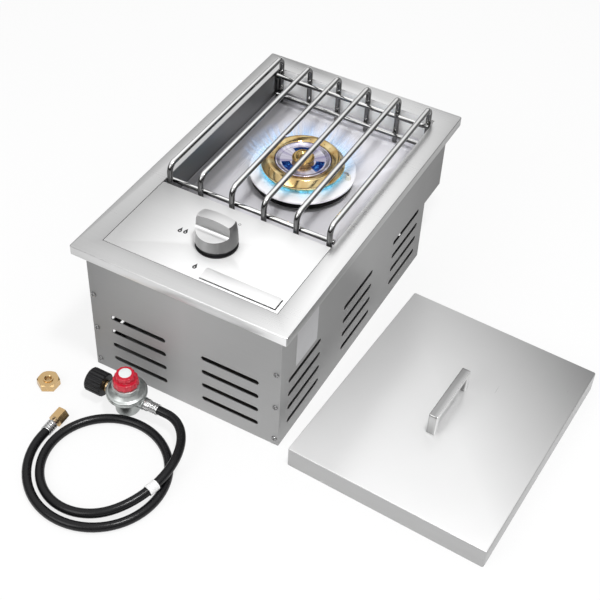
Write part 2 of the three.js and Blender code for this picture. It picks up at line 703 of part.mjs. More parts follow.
add(sideBurner, 'mixing_tube', mixingTube(), stainless(), 0, tubeFront, mixerLevel);
add(sideBurner, 'air_shutter', airShutter(), zinc(), 0, tubeFront, mixerLevel);

// Valve train under the panel: hat bracket, valve body and jet, spring, washer and stem

const valveGroup = group(sideBurner, 0, knobY, 0);

function valveHat() {
  const halfWidth = hat.width / 2;
  const halfDepth = hat.depth / 2;
  const floor = block([-halfWidth, halfWidth], [-halfDepth, halfDepth], [0, hat.thickness]);
  const leg = (x) => block([x, x + hat.thickness], [-halfDepth, halfDepth], [hat.thickness / 2, hat.drop]);
  const tab = (x) => block([x, x + hat.tab], [-halfDepth, halfDepth], [hat.drop - hat.thickness, hat.drop]);
  const hole = drum(stem.radius + seam, [-overrun, hat.thickness + overrun], valve.sides);
  const left = [leg(-halfWidth), tab(hat.thickness - halfWidth - hat.tab)];
  const right = [leg(halfWidth - hat.thickness), tab(halfWidth - hat.thickness)];
  return cut(joined(floor, ...left, ...right), hole);
}

add(valveGroup, 'valve_hat', valveHat(), stainless(), 0, 0, hatFloor);

function valveBody() {
  const halfWidth = valve.width / 2;
  const halfDepth = valve.depth / 2;
  const body = block([-halfWidth, halfWidth], [-halfDepth, halfDepth], [valveBottom, valveTop]);
  const bore = drum(valve.bore, [valveTop - valve.boreDepth, valveTop + overrun], valve.sides);
  return cut(body, bore);
}

add(valveGroup, 'valve_body', valveBody(), brass());

function jet() {
  const tip = valve.spudLength + valve.spudTipLength;
  return alongY(turned([
    [valve.spudBore, 0], [valve.spud, 0], [valve.spud, valve.spudLength], [valve.spudTip, valve.spudLength],
    [valve.spudTip, tip], [valve.spudBore, tip], [valve.spudBore, 0],
  ], valve.sides));
}

add(valveGroup, 'gas_jet', jet(), brass(), 0, valve.depth / 2, mixerLevel);

const springFoot = hatFloor + hat.thickness;
const washerLevel = springFoot + spring.height + 2 * seam;
const springWindings = spring.height - 2 * spring.wire;

function stemSpring() {
  const steps = spring.turns * spring.loopSteps;
  const points = Array.from({ length: steps + 1 }, (_, i) => {
    const angle = i * 2 * Math.PI / spring.loopSteps;
    return new THREE.Vector3(spring.radius * Math.cos(angle), spring.radius * Math.sin(angle),
      spring.wire + springWindings * i / steps);
  });
  return tube(points, spring.wire, spring.wireSides);
}

const coilGap = springWindings / spring.turns - 2 * spring.wire;
console.log(`stem spring: least gap between turns ${coilGap.toFixed(2)} mm`);
add(valveGroup, 'stem_spring', stemSpring(), polished(), 0, 0, springFoot + seam);

function springWasher() {
  const bore = stem.radius + seam;
  return turned([[bore, 0], [washer.radius, 0], [washer.radius, washer.thickness], [bore, washer.thickness],
    [bore, 0]], valve.sides);
}

add(valveGroup, 'spring_washer', springWasher(), polished(), 0, 0, washerLevel);

const stemTop = frameTop + stem.above;
add(valveGroup, 'valve_stem', drum(stem.radius, [valveTop - stem.below, stemTop], valve.sides), brass());

function knobBezel() {
  return turned([
    [bezel.bore, 0], [bezel.foot, 0], [bezel.foot, bezel.footHeight], [bezel.radius, bezel.footHeight],
    [bezel.radius, bezel.height - bezel.edge],
    [bezel.radius - bezel.edge, bezel.height], [bezel.bore, bezel.height], [bezel.bore, 0],
  ], bezel.sides);
}

add(valveGroup, 'knob_bezel', knobBezel(), blackPlastic(), 0, 0, frameTop);

// Knob: a round shell with a grip bar left between two scoops, and a hub on the stem

function scoop() {
  const wall = knob.grip / 2;
  const far = knob.base + overrun;
  const foot = knob.scoopLevel;
  const curve = bendPoints([wall + knob.lean + knob.fillet, foot + knob.fillet], knob.fillet,
    Math.PI, 3 * Math.PI / 2, knob.filletSteps, (y, z) => [y, z]);
  const profile = outlineOf([[wall, knob.height + overrun], ...curve, [far, foot - knob.scoopFall],
    [far, knob.height + overrun]]);
  const length = 2 * knob.base + 2 * overrun;
  return plate(profile, length).translate(0, 0, -length / 2).rotateX(Math.PI / 2).rotateZ(Math.PI / 2);
}

function knobShell() {
  const shell = turned([
    [0, knob.ceiling], [knob.cavity, knob.ceiling], [knob.cavity, 0], [knob.base, 0],
    [knob.top, knob.height - knob.edge], [knob.top - knob.edge, knob.height], [0, knob.height],
  ], knob.sides);
  const hub = drum(knob.hub, [knob.ceiling - knob.hubDrop, knob.ceiling + overrun / 2], valve.sides);
  const boreTop = stemTop - frameTop - knob.lift + seam;
  const bore = drum(stem.radius + seam, [-knob.hubDrop, boreTop], valve.sides);
  return cut(joined(shell, hub), scoop(), scoop().rotateZ(Math.PI), bore);
}

add(valveGroup, 'control_knob', knobShell(), zinc(), 0, 0, frameTop + knob.lift);

// Gas pipe: down from the valve, round a bend and out through the rear wall to its fitting

const pipeEnd = lowerRear + pipe.past;

function gasPipe() {
  const place = (y, z) => new THREE.Vector3(0, y, z);
  return tube([
    place(knobY, valveBottom),
    ...bendPoints([knobY + pipe.bend, pipeLevel + pipe.bend], pipe.bend, Math.PI, 3 * Math.PI / 2,
      pipe.bendSteps, place),
    place(pipeEnd, pipeLevel),
  ], pipe.radius, pipe.sides);
}

add(sideBurner, 'gas_pipe', gasPipe(), brass());

function inletFitting() {
  const rear = inlet.hexLength + inlet.threadLength;
  const hex = drum(inlet.hex, [0, inlet.hexLength], 6);
  const stub = turned([[0, 0], [inlet.thread, 0], [inlet.thread, rear - inlet.cone],
    [inlet.bore + inlet.lip, rear], [0, rear]], inlet.sides);
  const bore = drum(inlet.bore, [inlet.hexLength, rear + overrun], inlet.sides);
  return alongY(cut(joined(hex, stub), bore));
}

add(sideBurner, 'inlet_fitting', inletFitting(), brass(), 0, pipeEnd, pipeLevel);

// Lid: a folded pan with a strap handle, lying beside the housing

const lidTurn = THREE.MathUtils.degToRad(lid.turn);
const lidReach = (lid.width * Math.cos(lidTurn) + lid.depth * Math.sin(Math.abs(lidTurn))) / 2;
const lidGroup = group(sideBurner, bodyHalfWidth + lid.gap + lidReach, lid.y, lid.height);
lidGroup.rotation.z = lidTurn;
add(lidGroup, 'lid_shell', foldedPan(lid.width / 2, lid.depth / 2, lid.height, lid.fold), stainless());

function lidHandle() {
  const outer = outlineOf([[-handle.length / 2, 0], [handle.length / 2, 0],
    [handle.length / 2, handle.height - handle.fold], [handle.length / 2 - handle.fold, handle.height],
    [handle.fold - handle.length / 2, handle.height], [-handle.length / 2, handle.height - handle.fold]]);
  const room = block([handle.bar - handle.length / 2, handle.length / 2 - handle.bar],
    [-overrun, handle.height - handle.bar], [-overrun, handle.width + overrun]);
  return cut(plate(outer, handle.width), room).translate(0, 0, -handle.width / 2)
    .rotateX(Math.PI / 2).rotateZ(Math.PI / 2);
}

add(lidGroup, 'lid_handle', lidHandle(), polished());

// Regulator, beside the top of the hose loop, with its outlet pointing along +X

const hoseRadius = hose.diameter / 2;
const swivelRest = swivel.hex * Math.cos(Math.PI / 6);
const portLength = casting.rim + casting.portPast;
const ferruleLength = ferrule.nutLength + ferrule.length;
const hoseStartX = kit.x + hose.leadX;
const regulatorX = hoseStartX - hose.end - seam - ferruleLength - seam - portLength;
const regulatorY = -bodyHalfDepth - kit.gap - casting.rim;
const kitY = regulatorY - hose.inner - hose.leadY;
const regulatorGroup = group(sideBurner, regulatorX, regulatorY, 0);

function regulatorCasting() {
  const body = turned([
    [0, 0], [casting.foot, 0], [casting.body, casting.footRise],
    [casting.body, casting.rimLevel - casting.rimDepth],
    [casting.shoulder, casting.rimLevel - casting.footRise],
    [casting.rim, casting.rimLevel - casting.footRise], [casting.rim, casting.rimLevel],
    [0, casting.rimLevel],
  ], casting.sides);
  const ports = alongX(drum(casting.port, [-portLength, portLength], casting.portSides));
  return joined(body, ports.translate(0, 0, hose.outlet));
}

add(regulatorGroup, 'regulator_body', regulatorCasting(), zinc());

function regulatorBonnet() {
  return turned([
    [0, 0], [casting.rim, 0], [casting.rim, bonnet.rise], [bonnet.shoulder, bonnet.rise * 2],
    [bonnet.neck, bonnet.slope], [bonnet.neck, bonnet.height], [0, bonnet.height],
  ], casting.sides);
}

add(regulatorGroup, 'regulator_bonnet', regulatorBonnet(), zinc(), 0, 0, casting.rimLevel);

function regulatorDial() {
  const grooveTop = dial.skirtHeight + dial.grooveHeight;
  const top = grooveTop + dial.buttonHeight;
  const twoStep = turned([
    [0, 0], [dial.skirt, 0], [dial.skirtTop, dial.skirtHeight], [dial.groove, dial.skirtHeight],
    [dial.groove, grooveTop], [dial.button, grooveTop], [dial.button, top - dial.edge],
    [dial.button - dial.edge, top], [0, top],
  ], dial.facets);
  return joined(twoStep, drum(dial.disc, [top - dial.edge, top + dial.discHeight], casting.portSides));
}

const dialLevel = casting.rimLevel + bonnet.height + seam;
add(regulatorGroup, 'regulator_dial', regulatorDial(), redPlastic(), 0, 0, dialLevel);

// Tank connection: a nipple with a ribbed hand wheel that spins on it

function tankNipple() {
  const profile = turned([
    [0, 0], [nipple.collar, 0], [nipple.collar, nipple.collarLength], [nipple.radius, nipple.collarLength],
    [nipple.radius, nipple.length - nipple.nose], [nipple.radius - nipple.nose, nipple.length],
    [0, nipple.length],
  ], nipple.sides);
  return profile.rotateY(-Math.PI / 2);
}

const portFace = -portLength - seam;
add(regulatorGroup, 'tank_nipple', tankNipple(), brass(), portFace, 0, hose.outlet);

function handWheel() {
  const outline = [];
  for (let i = 0; i < wheel.ribs * 2; i += 1) {
    const radius = i % 2 === 0 ? wheel.radius : wheel.radius - wheel.ribDepth;
    const angle = i * Math.PI / wheel.ribs;
    outline.push([radius * Math.cos(angle), radius * Math.sin(angle)]);
  }
  const barrel = within(plate(outlineOf(outline), wheel.length), turned([
    [0, 0], [wheel.radius - wheel.edge, 0], [wheel.radius, wheel.edge],
    [wheel.radius, wheel.length - wheel.edge], [wheel.radius - wheel.edge, wheel.length],
    [0, wheel.length],
  ], casting.sides));
  const bore = drum(wheel.bore, [wheel.web, wheel.length + overrun], casting.sides);
  const neck = drum(wheel.neck, [-overrun, wheel.web + overrun], nipple.sides);
  return cut(barrel, bore, neck).rotateY(-Math.PI / 2);
}

const wheelFace = portFace - nipple.collarLength - seam;
add(regulatorGroup, 'hand_wheel', handWheel(), blackPlastic(), wheelFace, 0, hose.outlet);

// Hose: one unbroken flat spiral. Its first stretch comes down from the outlet and crosses
// over the second turn to become the inner one.

const smooth = (share) => {
  const held = Math.min(Math.max(share, 0), 1);
  return held * held * (3 - 2 * held);
};

function hosePoint(turn) {
  const radius = hose.inner + hose.pitch * turn / 360;
  const lead = 1 - smooth(turn / hose.leadTurn);
  const fall = (hose.outlet - hoseRadius) * (1 - smooth(turn / hose.dropTurn));
  const rise = (swivelRest - hoseRadius) * smooth(1 - (hose.turn - turn) / hose.riseTurn);
  const height = hoseRadius + fall + rise;
  const angle = THREE.MathUtils.degToRad(90 - turn);
  return new THREE.Vector3(radius * Math.cos(angle) + hose.leadX * lead,
    radius * Math.sin(angle) + hose.leadY * lead, height);
}

const hoseStep = 360 / hose.loopSteps;
const coilSteps = Math.round(hose.turn / hoseStep);
const coil = Array.from({ length: coilSteps + 1 }, (_, i) => hosePoint(i * hoseStep));
const hoseStart = coil[0].clone().add(new THREE.Vector3(-hose.end, 0, 0));
const hoseEnd = coil[coilSteps].clone().add(new THREE.Vector3(0, hose.end, 0));
const hosePoints = [hoseStart, ...coil, hoseEnd];

function leastSelfGap(points, apart) {
  let least = Infinity;
  points.forEach((point, i) => points.slice(i + apart).forEach((other) => {
    least = Math.min(least, point.distanceTo(other) - hose.diameter);
  }));
  return least;
}

const finePoints = Array.from({ length: hose.turn + 1 }, (_, turn) => hosePoint(turn));
const hoseLength = hosePoints.slice(1).reduce((sum, point, i) => sum + point.distanceTo(hosePoints[i]), 0);
console.log(`hose: length ${hoseLength.toFixed(0)} mm, least gap to itself ${
  leastSelfGap(finePoints, hose.apartTurn).toFixed(2)} mm`);

const coilGroup = group(sideBurner, kit.x, kitY, 0);
add(coilGroup, 'gas_hose', tube(hosePoints, hoseRadius, hose.sides), blackRubber());

function crimpedFerrule(nutRadius) {
  return turned([
    [0, 0], [nutRadius, 0], [nutRadius, ferrule.nutLength], [ferrule.sleeve, ferrule.nutLength],
    [ferrule.sleeve, ferruleLength], [0, ferruleLength],
  ], ferrule.sides);
}

add(regulatorGroup, 'outlet_ferrule', alongX(crimpedFerrule(ferrule.nut)), zinc(),
  portLength + seam, 0, hose.outlet);

// A plain band round the hose, square to it where the first stretch comes down

function hoseBand() {
  const half = band.length / 2;
  return turned([[band.bore, -half], [band.radius, -half], [band.radius, half], [band.bore, half],
    [band.bore, -half]], band.sides);
}

const bandMesh = add(coilGroup, 'hose_band', hoseBand(), whitePlastic());
const bandStep = Math.floor(band.turn / hoseStep);
const bandWay = coil[bandStep + 1].clone().sub(coil[bandStep]);
bandMesh.position.copy(coil[bandStep]).addScaledVector(bandWay, 1 / 2);
bandMesh.quaternion.setFromUnitVectors(new THREE.Vector3(0, 0, 1), bandWay.normalize());

// Far end: a ferrule whose flared neck holds a brass swivel nut

function swivelFerrule() {
  const neckEnd = ferrule.length + swivel.neckLength;
  return turned([
    [0, 0], [ferrule.sleeve, 0], [ferrule.sleeve, ferrule.length], [swivel.neck, ferrule.length],
    [swivel.neck, neckEnd], [swivel.head, neckEnd], [swivel.tip, neckEnd + swivel.headLength],
    [0, neckEnd + swivel.headLength],
  ], ferrule.sides);
}

function swivelNut() {
  const hex = drum(swivel.hex, [0, swivel.length], 6).rotateZ(Math.PI / 6);
  const collarBore = drum(swivel.neck + swivel.neckGap, [-overrun, swivel.wall + overrun], swivel.sides);
  const bore = drum(swivel.bore, [swivel.wall, swivel.length + overrun], swivel.sides);
  return cut(hex, collarBore, bore);
}

const endGroup = group(coilGroup, hoseEnd.x, hoseEnd.y + seam, hoseEnd.z);
add(endGroup, 'swivel_ferrule', alongY(swivelFerrule()), zinc());
const nutStart = ferrule.length + swivel.neckLength - swivel.wall - seam;
add(endGroup, 'swivel_nut', alongY(swivelNut()), brass(), 0, nutStart, 0);

// Spare brass adaptor nut, lying flat

function adaptorNut() {
  const apothem = hexNut.across / 2;
  const corner = apothem / Math.cos(Math.PI / 6);
  const hex = drum(corner, [0, hexNut.thickness], 6);
  const dome = turned([
    [0, 0], [corner, 0], [corner, hexNut.thickness - hexNut.chamfer],
    [corner - hexNut.chamfer * 2, hexNut.thickness], [0, hexNut.thickness],
  ], hexNut.sides);
  const bossTop = hexNut.thickness + hexNut.bossHeight;
  const boss = drum(hexNut.boss / 2 + hexNut.chamfer, [hexNut.thickness / 2, bossTop], hexNut.sides);
  const bore = drum(hexNut.bore / 2, [-overrun, bossTop + overrun], hexNut.sides);
  return cut(joined(within(hex, dome), boss), bore);
}

add(coilGroup, 'adaptor_nut', adaptorNut(), brass(), hexNut.x, hexNut.y, 0);

export default sideBurner;
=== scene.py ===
# %% [markdown]
# # A drop-in gas side burner, dressed for the camera
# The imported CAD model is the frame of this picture: its nodes and bodies place the pieces. These
# cells put finer pieces and finishes over it, one after another, and say why each is made as it
# is. Lengths of pieces are in millimetres, and MM makes metres of them. Lamps are in metres.

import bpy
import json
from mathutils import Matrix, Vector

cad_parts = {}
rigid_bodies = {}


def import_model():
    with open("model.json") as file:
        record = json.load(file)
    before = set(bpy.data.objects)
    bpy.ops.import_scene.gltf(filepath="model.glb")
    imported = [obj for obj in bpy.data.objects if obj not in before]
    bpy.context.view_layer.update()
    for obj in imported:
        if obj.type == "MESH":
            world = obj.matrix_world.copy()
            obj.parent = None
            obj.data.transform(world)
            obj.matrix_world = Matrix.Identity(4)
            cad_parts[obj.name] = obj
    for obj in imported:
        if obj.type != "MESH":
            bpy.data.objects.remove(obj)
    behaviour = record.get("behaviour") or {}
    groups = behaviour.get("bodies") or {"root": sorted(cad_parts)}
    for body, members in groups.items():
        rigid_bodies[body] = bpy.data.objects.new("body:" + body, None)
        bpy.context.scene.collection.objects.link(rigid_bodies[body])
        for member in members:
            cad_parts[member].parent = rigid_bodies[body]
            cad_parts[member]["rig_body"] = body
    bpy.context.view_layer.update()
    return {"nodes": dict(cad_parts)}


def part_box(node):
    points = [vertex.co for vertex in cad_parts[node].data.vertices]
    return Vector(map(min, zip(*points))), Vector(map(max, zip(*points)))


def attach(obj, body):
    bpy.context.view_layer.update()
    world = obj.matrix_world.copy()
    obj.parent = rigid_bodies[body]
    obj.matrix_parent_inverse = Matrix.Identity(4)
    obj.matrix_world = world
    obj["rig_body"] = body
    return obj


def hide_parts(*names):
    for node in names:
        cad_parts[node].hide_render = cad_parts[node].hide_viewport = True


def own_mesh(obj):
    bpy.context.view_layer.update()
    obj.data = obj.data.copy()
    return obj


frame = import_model()
print("CAD nodes:", len(frame["nodes"]))

# %% Modules for the meshes and the sums
import json
import math

import bmesh
import bpy
from mathutils import Matrix, Vector

MM = 0.001
scene = bpy.context.scene
scene.view_settings.view_transform = "Standard"


def linked(name, data):
    """A new object in the scene, from a mesh, a camera or a lamp."""
    thing = bpy.data.objects.new(name, data)
    scene.collection.objects.link(thing)
    return thing


# %% [markdown]
# ## Camera
# The picture looks down from the front right. Place and heading were fitted to the long edges of
# the housing. A slight roll and a little shift give the object the place it has in the frame.

# %% Camera
LOOK_FROM = Vector((611.5, -1128.4, 1257.8))
LOOK_HEADING, LOOK_DOWN, LOOK_ROLL = (math.radians(a) for a in (28.05, 44.0, 2.18))
LENS, SENSOR, SHIFT_RIGHT, SHIFT_UP = 71.87, 36, 0.0312, -0.0233


def camera_axes():
    """Right, up and backward directions of the camera."""
    forward = Vector((-math.sin(LOOK_HEADING) * math.cos(LOOK_DOWN),
                      math.cos(LOOK_HEADING) * math.cos(LOOK_DOWN), -math.sin(LOOK_DOWN)))
    level = Vector((math.cos(LOOK_HEADING), math.sin(LOOK_HEADING), 0))
    upright = level.cross(forward)
    right = math.cos(LOOK_ROLL) * level + math.sin(LOOK_ROLL) * upright
    up = math.cos(LOOK_ROLL) * upright - math.sin(LOOK_ROLL) * level
    return right, up, -forward


camera_data = bpy.data.cameras.new("camera")
camera_data.lens, camera_data.sensor_width = LENS, SENSOR
camera_data.shift_x, camera_data.shift_y = SHIFT_RIGHT, SHIFT_UP
camera = linked("camera", camera_data)
camera.matrix_world = (Matrix.Translation(LOOK_FROM * MM)
                       @ Matrix(camera_axes()).transposed().to_4x4())
scene.camera = camera
print("camera stands", round(LOOK_FROM.z), "mm above the table")

# %% [markdown]
# ## Mesh tools
# Most of a burner is turned on a lathe, bent from rod or folded from sheet. So three small tools
# make nearly every piece: one turns an outline, one sweeps a circle along a path, one extrudes an
# outline. Corners of an outline are eased before turning, because a real edge catches the light.

# %% Seat a piece on the frame
def seat(piece, slot, *nodes, body="housing"):
    """Lets a finished piece stand for CAD nodes and rides it on their body; the slot is not used.
    Thin trim stands for none, and rides on the body that is given."""
    if nodes:
        body = frame["nodes"][nodes[0]]["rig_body"]
    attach(piece, body)
    if nodes:
        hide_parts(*nodes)
    return piece


# %% Make a mesh
CREASE, WELD = 35, 2e-6


def shade(mesh, angle=CREASE):
    """Smooth shading that leaves edges sharper than the angle crisp."""
    mesh.shade_smooth()
    mesh.set_sharp_from_angle(angle=math.radians(angle))


def mesh_of(name, vertices, faces):
    """A mesh from points in millimetres."""
    mesh = bpy.data.meshes.new(name)
    mesh.from_pydata([Vector(v) * MM for v in vertices], [], faces)
    return mesh


def make(name, vertices, faces):
    """A welded, smooth-shaded mesh object from points in millimetres."""
    mesh = mesh_of(name, vertices, faces)
    shell = bmesh.new()
    shell.from_mesh(mesh)
    bmesh.ops.remove_doubles(shell, verts=shell.verts, dist=WELD)
    bmesh.ops.recalc_face_normals(shell, faces=shell.faces)
    shell.to_mesh(mesh)
    shell.free()
    shade(mesh)
    return linked(name, mesh)


# %% Skin a row of rings
def skin(rings, loop=False):
    """Vertices and faces over rings that all have the same number of points."""
    count, rows = len(rings[0]), len(rings)
    vertices = [point for ring in rings for point in ring]
    faces = []
    for row in range(rows if loop else rows - 1):
        a, b = row * count, (row + 1) % rows * count
        faces += [(a + i, a + (i + 1) % count, b + (i + 1) % count, b + i) for i in range(count)]
    if not loop:
        faces += [tuple(reversed(range(count))), tuple(range(count * (rows - 1), count * rows))]
    return vertices, faces


def moved(shape, matrix):
    """The same vertices and faces, carried by a matrix in millimetres."""
    vertices, faces = shape
    return [matrix @ Vector(v) for v in vertices], faces


def merged(*shapes):
    """Several shapes as one list of vertices and faces."""
    vertices, faces = [], []
    for some_vertices, some_faces in shapes:
        start = len(vertices)
        vertices += some_vertices
        faces += [tuple(start + i for i in face) for face in some_faces]
    return vertices, faces


# %% Ease an outline
SHARE_OF_SIDE, LEAST_REACH, STRAIGHT = 0.45, 0.02, 0.15


def eased(outline, radius, steps=3):
    """A closed outline with its corners rounded. Corners on a lathe's axis, and nearly straight
    ones, stay."""
    points = [Vector(p) for p in outline]
    rounded = []
    for before, here, after in zip(points[-1:] + points[:-1], points, points[1:] + points[:1]):
        back, on = before - here, after - here
        reach = min(radius, SHARE_OF_SIDE * back.length, SHARE_OF_SIDE * on.length)
        if here.x == 0 or reach < LEAST_REACH or abs(back.angle(on) - math.pi) < STRAIGHT:
            rounded.append(here)
            continue
        start, end = here + back.normalized() * reach, here + on.normalized() * reach
        for i in range(steps + 1):
            t = i / steps
            rounded.append(start * (1 - t) ** 2 + here * (2 * t * (1 - t)) + end * t ** 2)
    return rounded


# %% Turn, sweep and extrude
def lathe(outline, sides=96):
    """Turns a closed outline of (radius, height) round the upright axis."""
    rings = []
    for i in range(sides):
        c, s = math.cos(math.tau * i / sides), math.sin(math.tau * i / sides)
        rings.append([(r * c, r * s, z) for r, z in outline])
    return skin(rings, loop=True)


def sweep(path, radius, sides=24):
    """A round bar along a path. The radius is one number, or one for each point."""
    points = [Vector(p) for p in path]
    radii = [radius] * len(points) if isinstance(radius, (int, float)) else radius
    rings, side = [], None
    for i, here in enumerate(points):
        ahead = points[min(i + 1, len(points) - 1)] - points[max(i - 1, 0)]
        ahead.normalize()
        if side is None:
            side = ahead.orthogonal()
        side = (side - ahead * side.dot(ahead)).normalized()
        other = ahead.cross(side)
        rings.append([here + (side * math.cos(a) + other * math.sin(a)) * radii[i]
                      for a in (math.tau * k / sides for k in range(sides))])
    return skin(rings)


def extrude(outline, low, high):
    """A prism over an outline of (x, y) pairs."""
    return skin([[(x, y, z) for x, y in outline] for z in (low, high)])


def slab(outline, low, high):
    """A prism along x, over an outline of (y, z) pairs."""
    return skin([[(x, y, z) for y, z in outline] for x in (low, high)])


# %% Outlines that come back
def bend(centre, radius, start, end, steps, place=lambda x, y: (x, y)):
    """Points on an arc, from a start to an end angle in degrees, put in space by place."""
    angles = [math.radians(start + (end - start) * i / steps) for i in range(steps + 1)]
    return [place(centre[0] + radius * math.cos(a), centre[1] + radius * math.sin(a))
            for a in angles]


def tube(inner, outer, low, high):
    """Outline of a tube for the lathe, or of a pin where the inner radius is 0."""
    return [(inner, low), (outer, low), (outer, high), (inner, high)]


def rectangle(x, y):
    """Outline over two (low, high) pairs."""
    return [(x[0], y[0]), (x[1], y[0]), (x[1], y[1]), (x[0], y[1])]


# %% Places
def at(x, y, z):
    """A shift in millimetres."""
    return Matrix.Translation((x, y, z))


def turn(degrees, axis):
    """A turn about an axis through the origin."""
    return Matrix.Rotation(math.radians(degrees), 4, axis)


def corners(node):
    """Lowest and highest corner of a CAD node, in millimetres."""
    return tuple(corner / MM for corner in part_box(node))


def middle(node):
    """The middle of a CAD node's box, in millimetres."""
    return [(a + b) / 2 for a, b in zip(*corners(node))]


def turned(name, outline, place, sides=96):
    """A turned piece, put in its place."""
    return make(name, *moved(lathe(outline, sides), place))


# %% [markdown]
# More tools change a mesh that is there already. One cuts it with others, as a drill or a punch
# does. Another makes a crisp copy of a CAD sheet: the triangles are joined into flat faces
# again, and a fine bevel goes along the edges.

# %% Cut and copy
FLAT = 0.5


def settle(piece, angle=CREASE):
    """Applies a piece's modifiers, so that its mesh is final."""
    bpy.context.view_layer.update()
    mesh = bpy.data.meshes.new_from_object(piece.evaluated_get(
        bpy.context.evaluated_depsgraph_get()))
    piece.modifiers.clear()
    piece.data = mesh
    shade(mesh, angle)
    return piece


def carve(piece, *shapes, operation="DIFFERENCE", angle=CREASE):
    """Cuts a piece with the given shapes, or joins them to it."""
    cutter = make("cutter", *merged(*shapes))
    cut = piece.modifiers.new("cut", "BOOLEAN")
    cut.object, cut.operation, cut.solver, cut.use_self = cutter, operation, "EXACT", True
    settle(piece, angle)
    bpy.data.objects.remove(cutter)
    return piece


def bored(piece, outline, place, sides, operation="DIFFERENCE"):
    """Cuts a piece with a turned shape, or joins the shape to it."""
    return carve(piece, moved(lathe(outline, sides), place), operation=operation)


def bevelled(piece, width, segments=2, angle=CREASE):
    """Rounds the sharp edges of a piece."""
    edge = piece.modifiers.new("edge", "BEVEL")
    edge.width, edge.segments, edge.limit_method = width * MM, segments, "ANGLE"
    edge.angle_limit, edge.use_clamp_overlap = math.radians(angle), True
    return settle(piece, angle)


def crisp(node, name, width):
    """A copy of a CAD node with flat faces made whole and edges broken."""
    mesh = frame["nodes"][node].data.copy()
    sheet = bmesh.new()
    sheet.from_mesh(mesh)
    bmesh.ops.remove_doubles(sheet, verts=sheet.verts, dist=WELD)
    bmesh.ops.dissolve_limit(sheet, angle_limit=math.radians(FLAT), verts=sheet.verts,
                             edges=sheet.edges)
    sheet.to_mesh(mesh)
    sheet.free()
    mesh.materials.clear()
    shade(mesh)
    piece = linked(name, mesh)
    return bevelled(piece, width) if width else piece


# %% [markdown]
# ## Hose
# The hose is 12.5 mm rubber tube, 0.95 m long, and the picture shows it from end to end. It leaves
# the regulator, comes down in a wide bend, passes over itself and lies in one and three quarter
# turns. The route repeats the one in the CAD, with a finer step.

# %% Route of the hose
HOSE_ACROSS, HOSE_INNER, HOSE_PITCH, HOSE_TURN = 12.5, 68, 16.5, 630
HOSE_LEAD, HOSE_LEAD_TURN, HOSE_DROP_TURN, HOSE_RISE_TURN = (30, 37), 145, 240, 75
HOSE_START_LEVEL, HOSE_END_LEVEL, HOSE_STRAIGHT = 27, 9.0933, 10
COIL_CENTRE, STEPS_A_TURN = (-30, -400), 72


def smooth(share):
    """Eases from 0 to 1."""
    held = min(max(share, 0), 1)
    return held * held * (3 - 2 * held)


def hose_point(angle):
    """The middle of the hose after so many degrees of winding."""
    radius = HOSE_INNER + HOSE_PITCH * angle / 360
    lead = 1 - smooth(angle / HOSE_LEAD_TURN)
    floor = HOSE_ACROSS / 2
    level = (floor + (HOSE_START_LEVEL - floor) * (1 - smooth(angle / HOSE_DROP_TURN))
             + (HOSE_END_LEVEL - floor) * smooth(1 - (HOSE_TURN - angle) / HOSE_RISE_TURN))
    way = math.radians(90 - angle)
    return Vector((COIL_CENTRE[0] + radius * math.cos(way) + HOSE_LEAD[0] * lead,
                   COIL_CENTRE[1] + radius * math.sin(way) + HOSE_LEAD[1] * lead, level))


coil = [hose_point(i * 360 / STEPS_A_TURN) for i in range(HOSE_TURN * STEPS_A_TURN // 360 + 1)]
hose_route = ([coil[0] - Vector((HOSE_STRAIGHT, 0, 0))] + coil
              + [coil[-1] + Vector((0, HOSE_STRAIGHT, 0))])
hose_length = sum((b - a).length for a, b in zip(hose_route, hose_route[1:]))
print("hose:", round(hose_length), "mm along its middle")

# %% Hose and crimped sleeves
hose = seat(make("rubber_hose", *sweep(hose_route, HOSE_ACROSS / 2, 20)), "hose_rubber",
            "gas_hose")
SLEEVE, SLEEVE_LENGTH, COLLAR, COLLAR_LENGTH, BITE, BITES = 7.6, 15, 8.5, 6, 1.0, 3
NECK, NECK_LENGTH, CONE, CONE_LENGTH, CONE_TIP = 4.8, 9, 6.2, 5, 3
TO_X, TO_Y = turn(90, "Y"), turn(-90, "X")


def crimped(head, start, tail):
    """Outline of a crimped sleeve: its head, rings where the crimping jaws bit, its tail."""
    outline, pitch = list(head), SLEEVE_LENGTH / (BITES + 1)
    for i in range(BITES):
        level = start + pitch * (i + 1)
        outline += [(SLEEVE, level - pitch * 0.3), (SLEEVE - BITE, level - pitch * 0.15),
                    (SLEEVE - BITE, level + pitch * 0.15), (SLEEVE, level + pitch * 0.3)]
    return eased(outline + [(SLEEVE, start + SLEEVE_LENGTH)] + tail, 0.35, 2)


collar = [(0, 0), (COLLAR, 0), (COLLAR, COLLAR_LENGTH), (SLEEVE, COLLAR_LENGTH)]
_, outlet_y, outlet_z = middle("outlet_ferrule")
outlet = seat(turned("outlet_crimp",
                     crimped(collar, COLLAR_LENGTH, [(0, COLLAR_LENGTH + SLEEVE_LENGTH)]),
                     at(corners("outlet_ferrule")[0].x, outlet_y, outlet_z) @ TO_X, 48),
              "ferrule_zinc", "outlet_ferrule")


def on_end(node):
    """The place of a fitting that lies along y at the hose's loose end."""
    return at(hose_route[-1].x, corners(node)[0].y, hose_route[-1].z) @ TO_Y


neck_end = SLEEVE_LENGTH + NECK_LENGTH
neck = [(NECK, SLEEVE_LENGTH), (NECK, neck_end), (CONE, neck_end),
        (CONE_TIP, neck_end + CONE_LENGTH), (0, neck_end + CONE_LENGTH)]
swivel_ferrule = seat(turned("swivel_crimp", crimped([(0, 0), (SLEEVE, 0)], 0, neck),
                             on_end("swivel_ferrule"), 48),
                      "ferrule_zinc", "swivel_ferrule")
print("sleeves crimped", BITES, "times each")

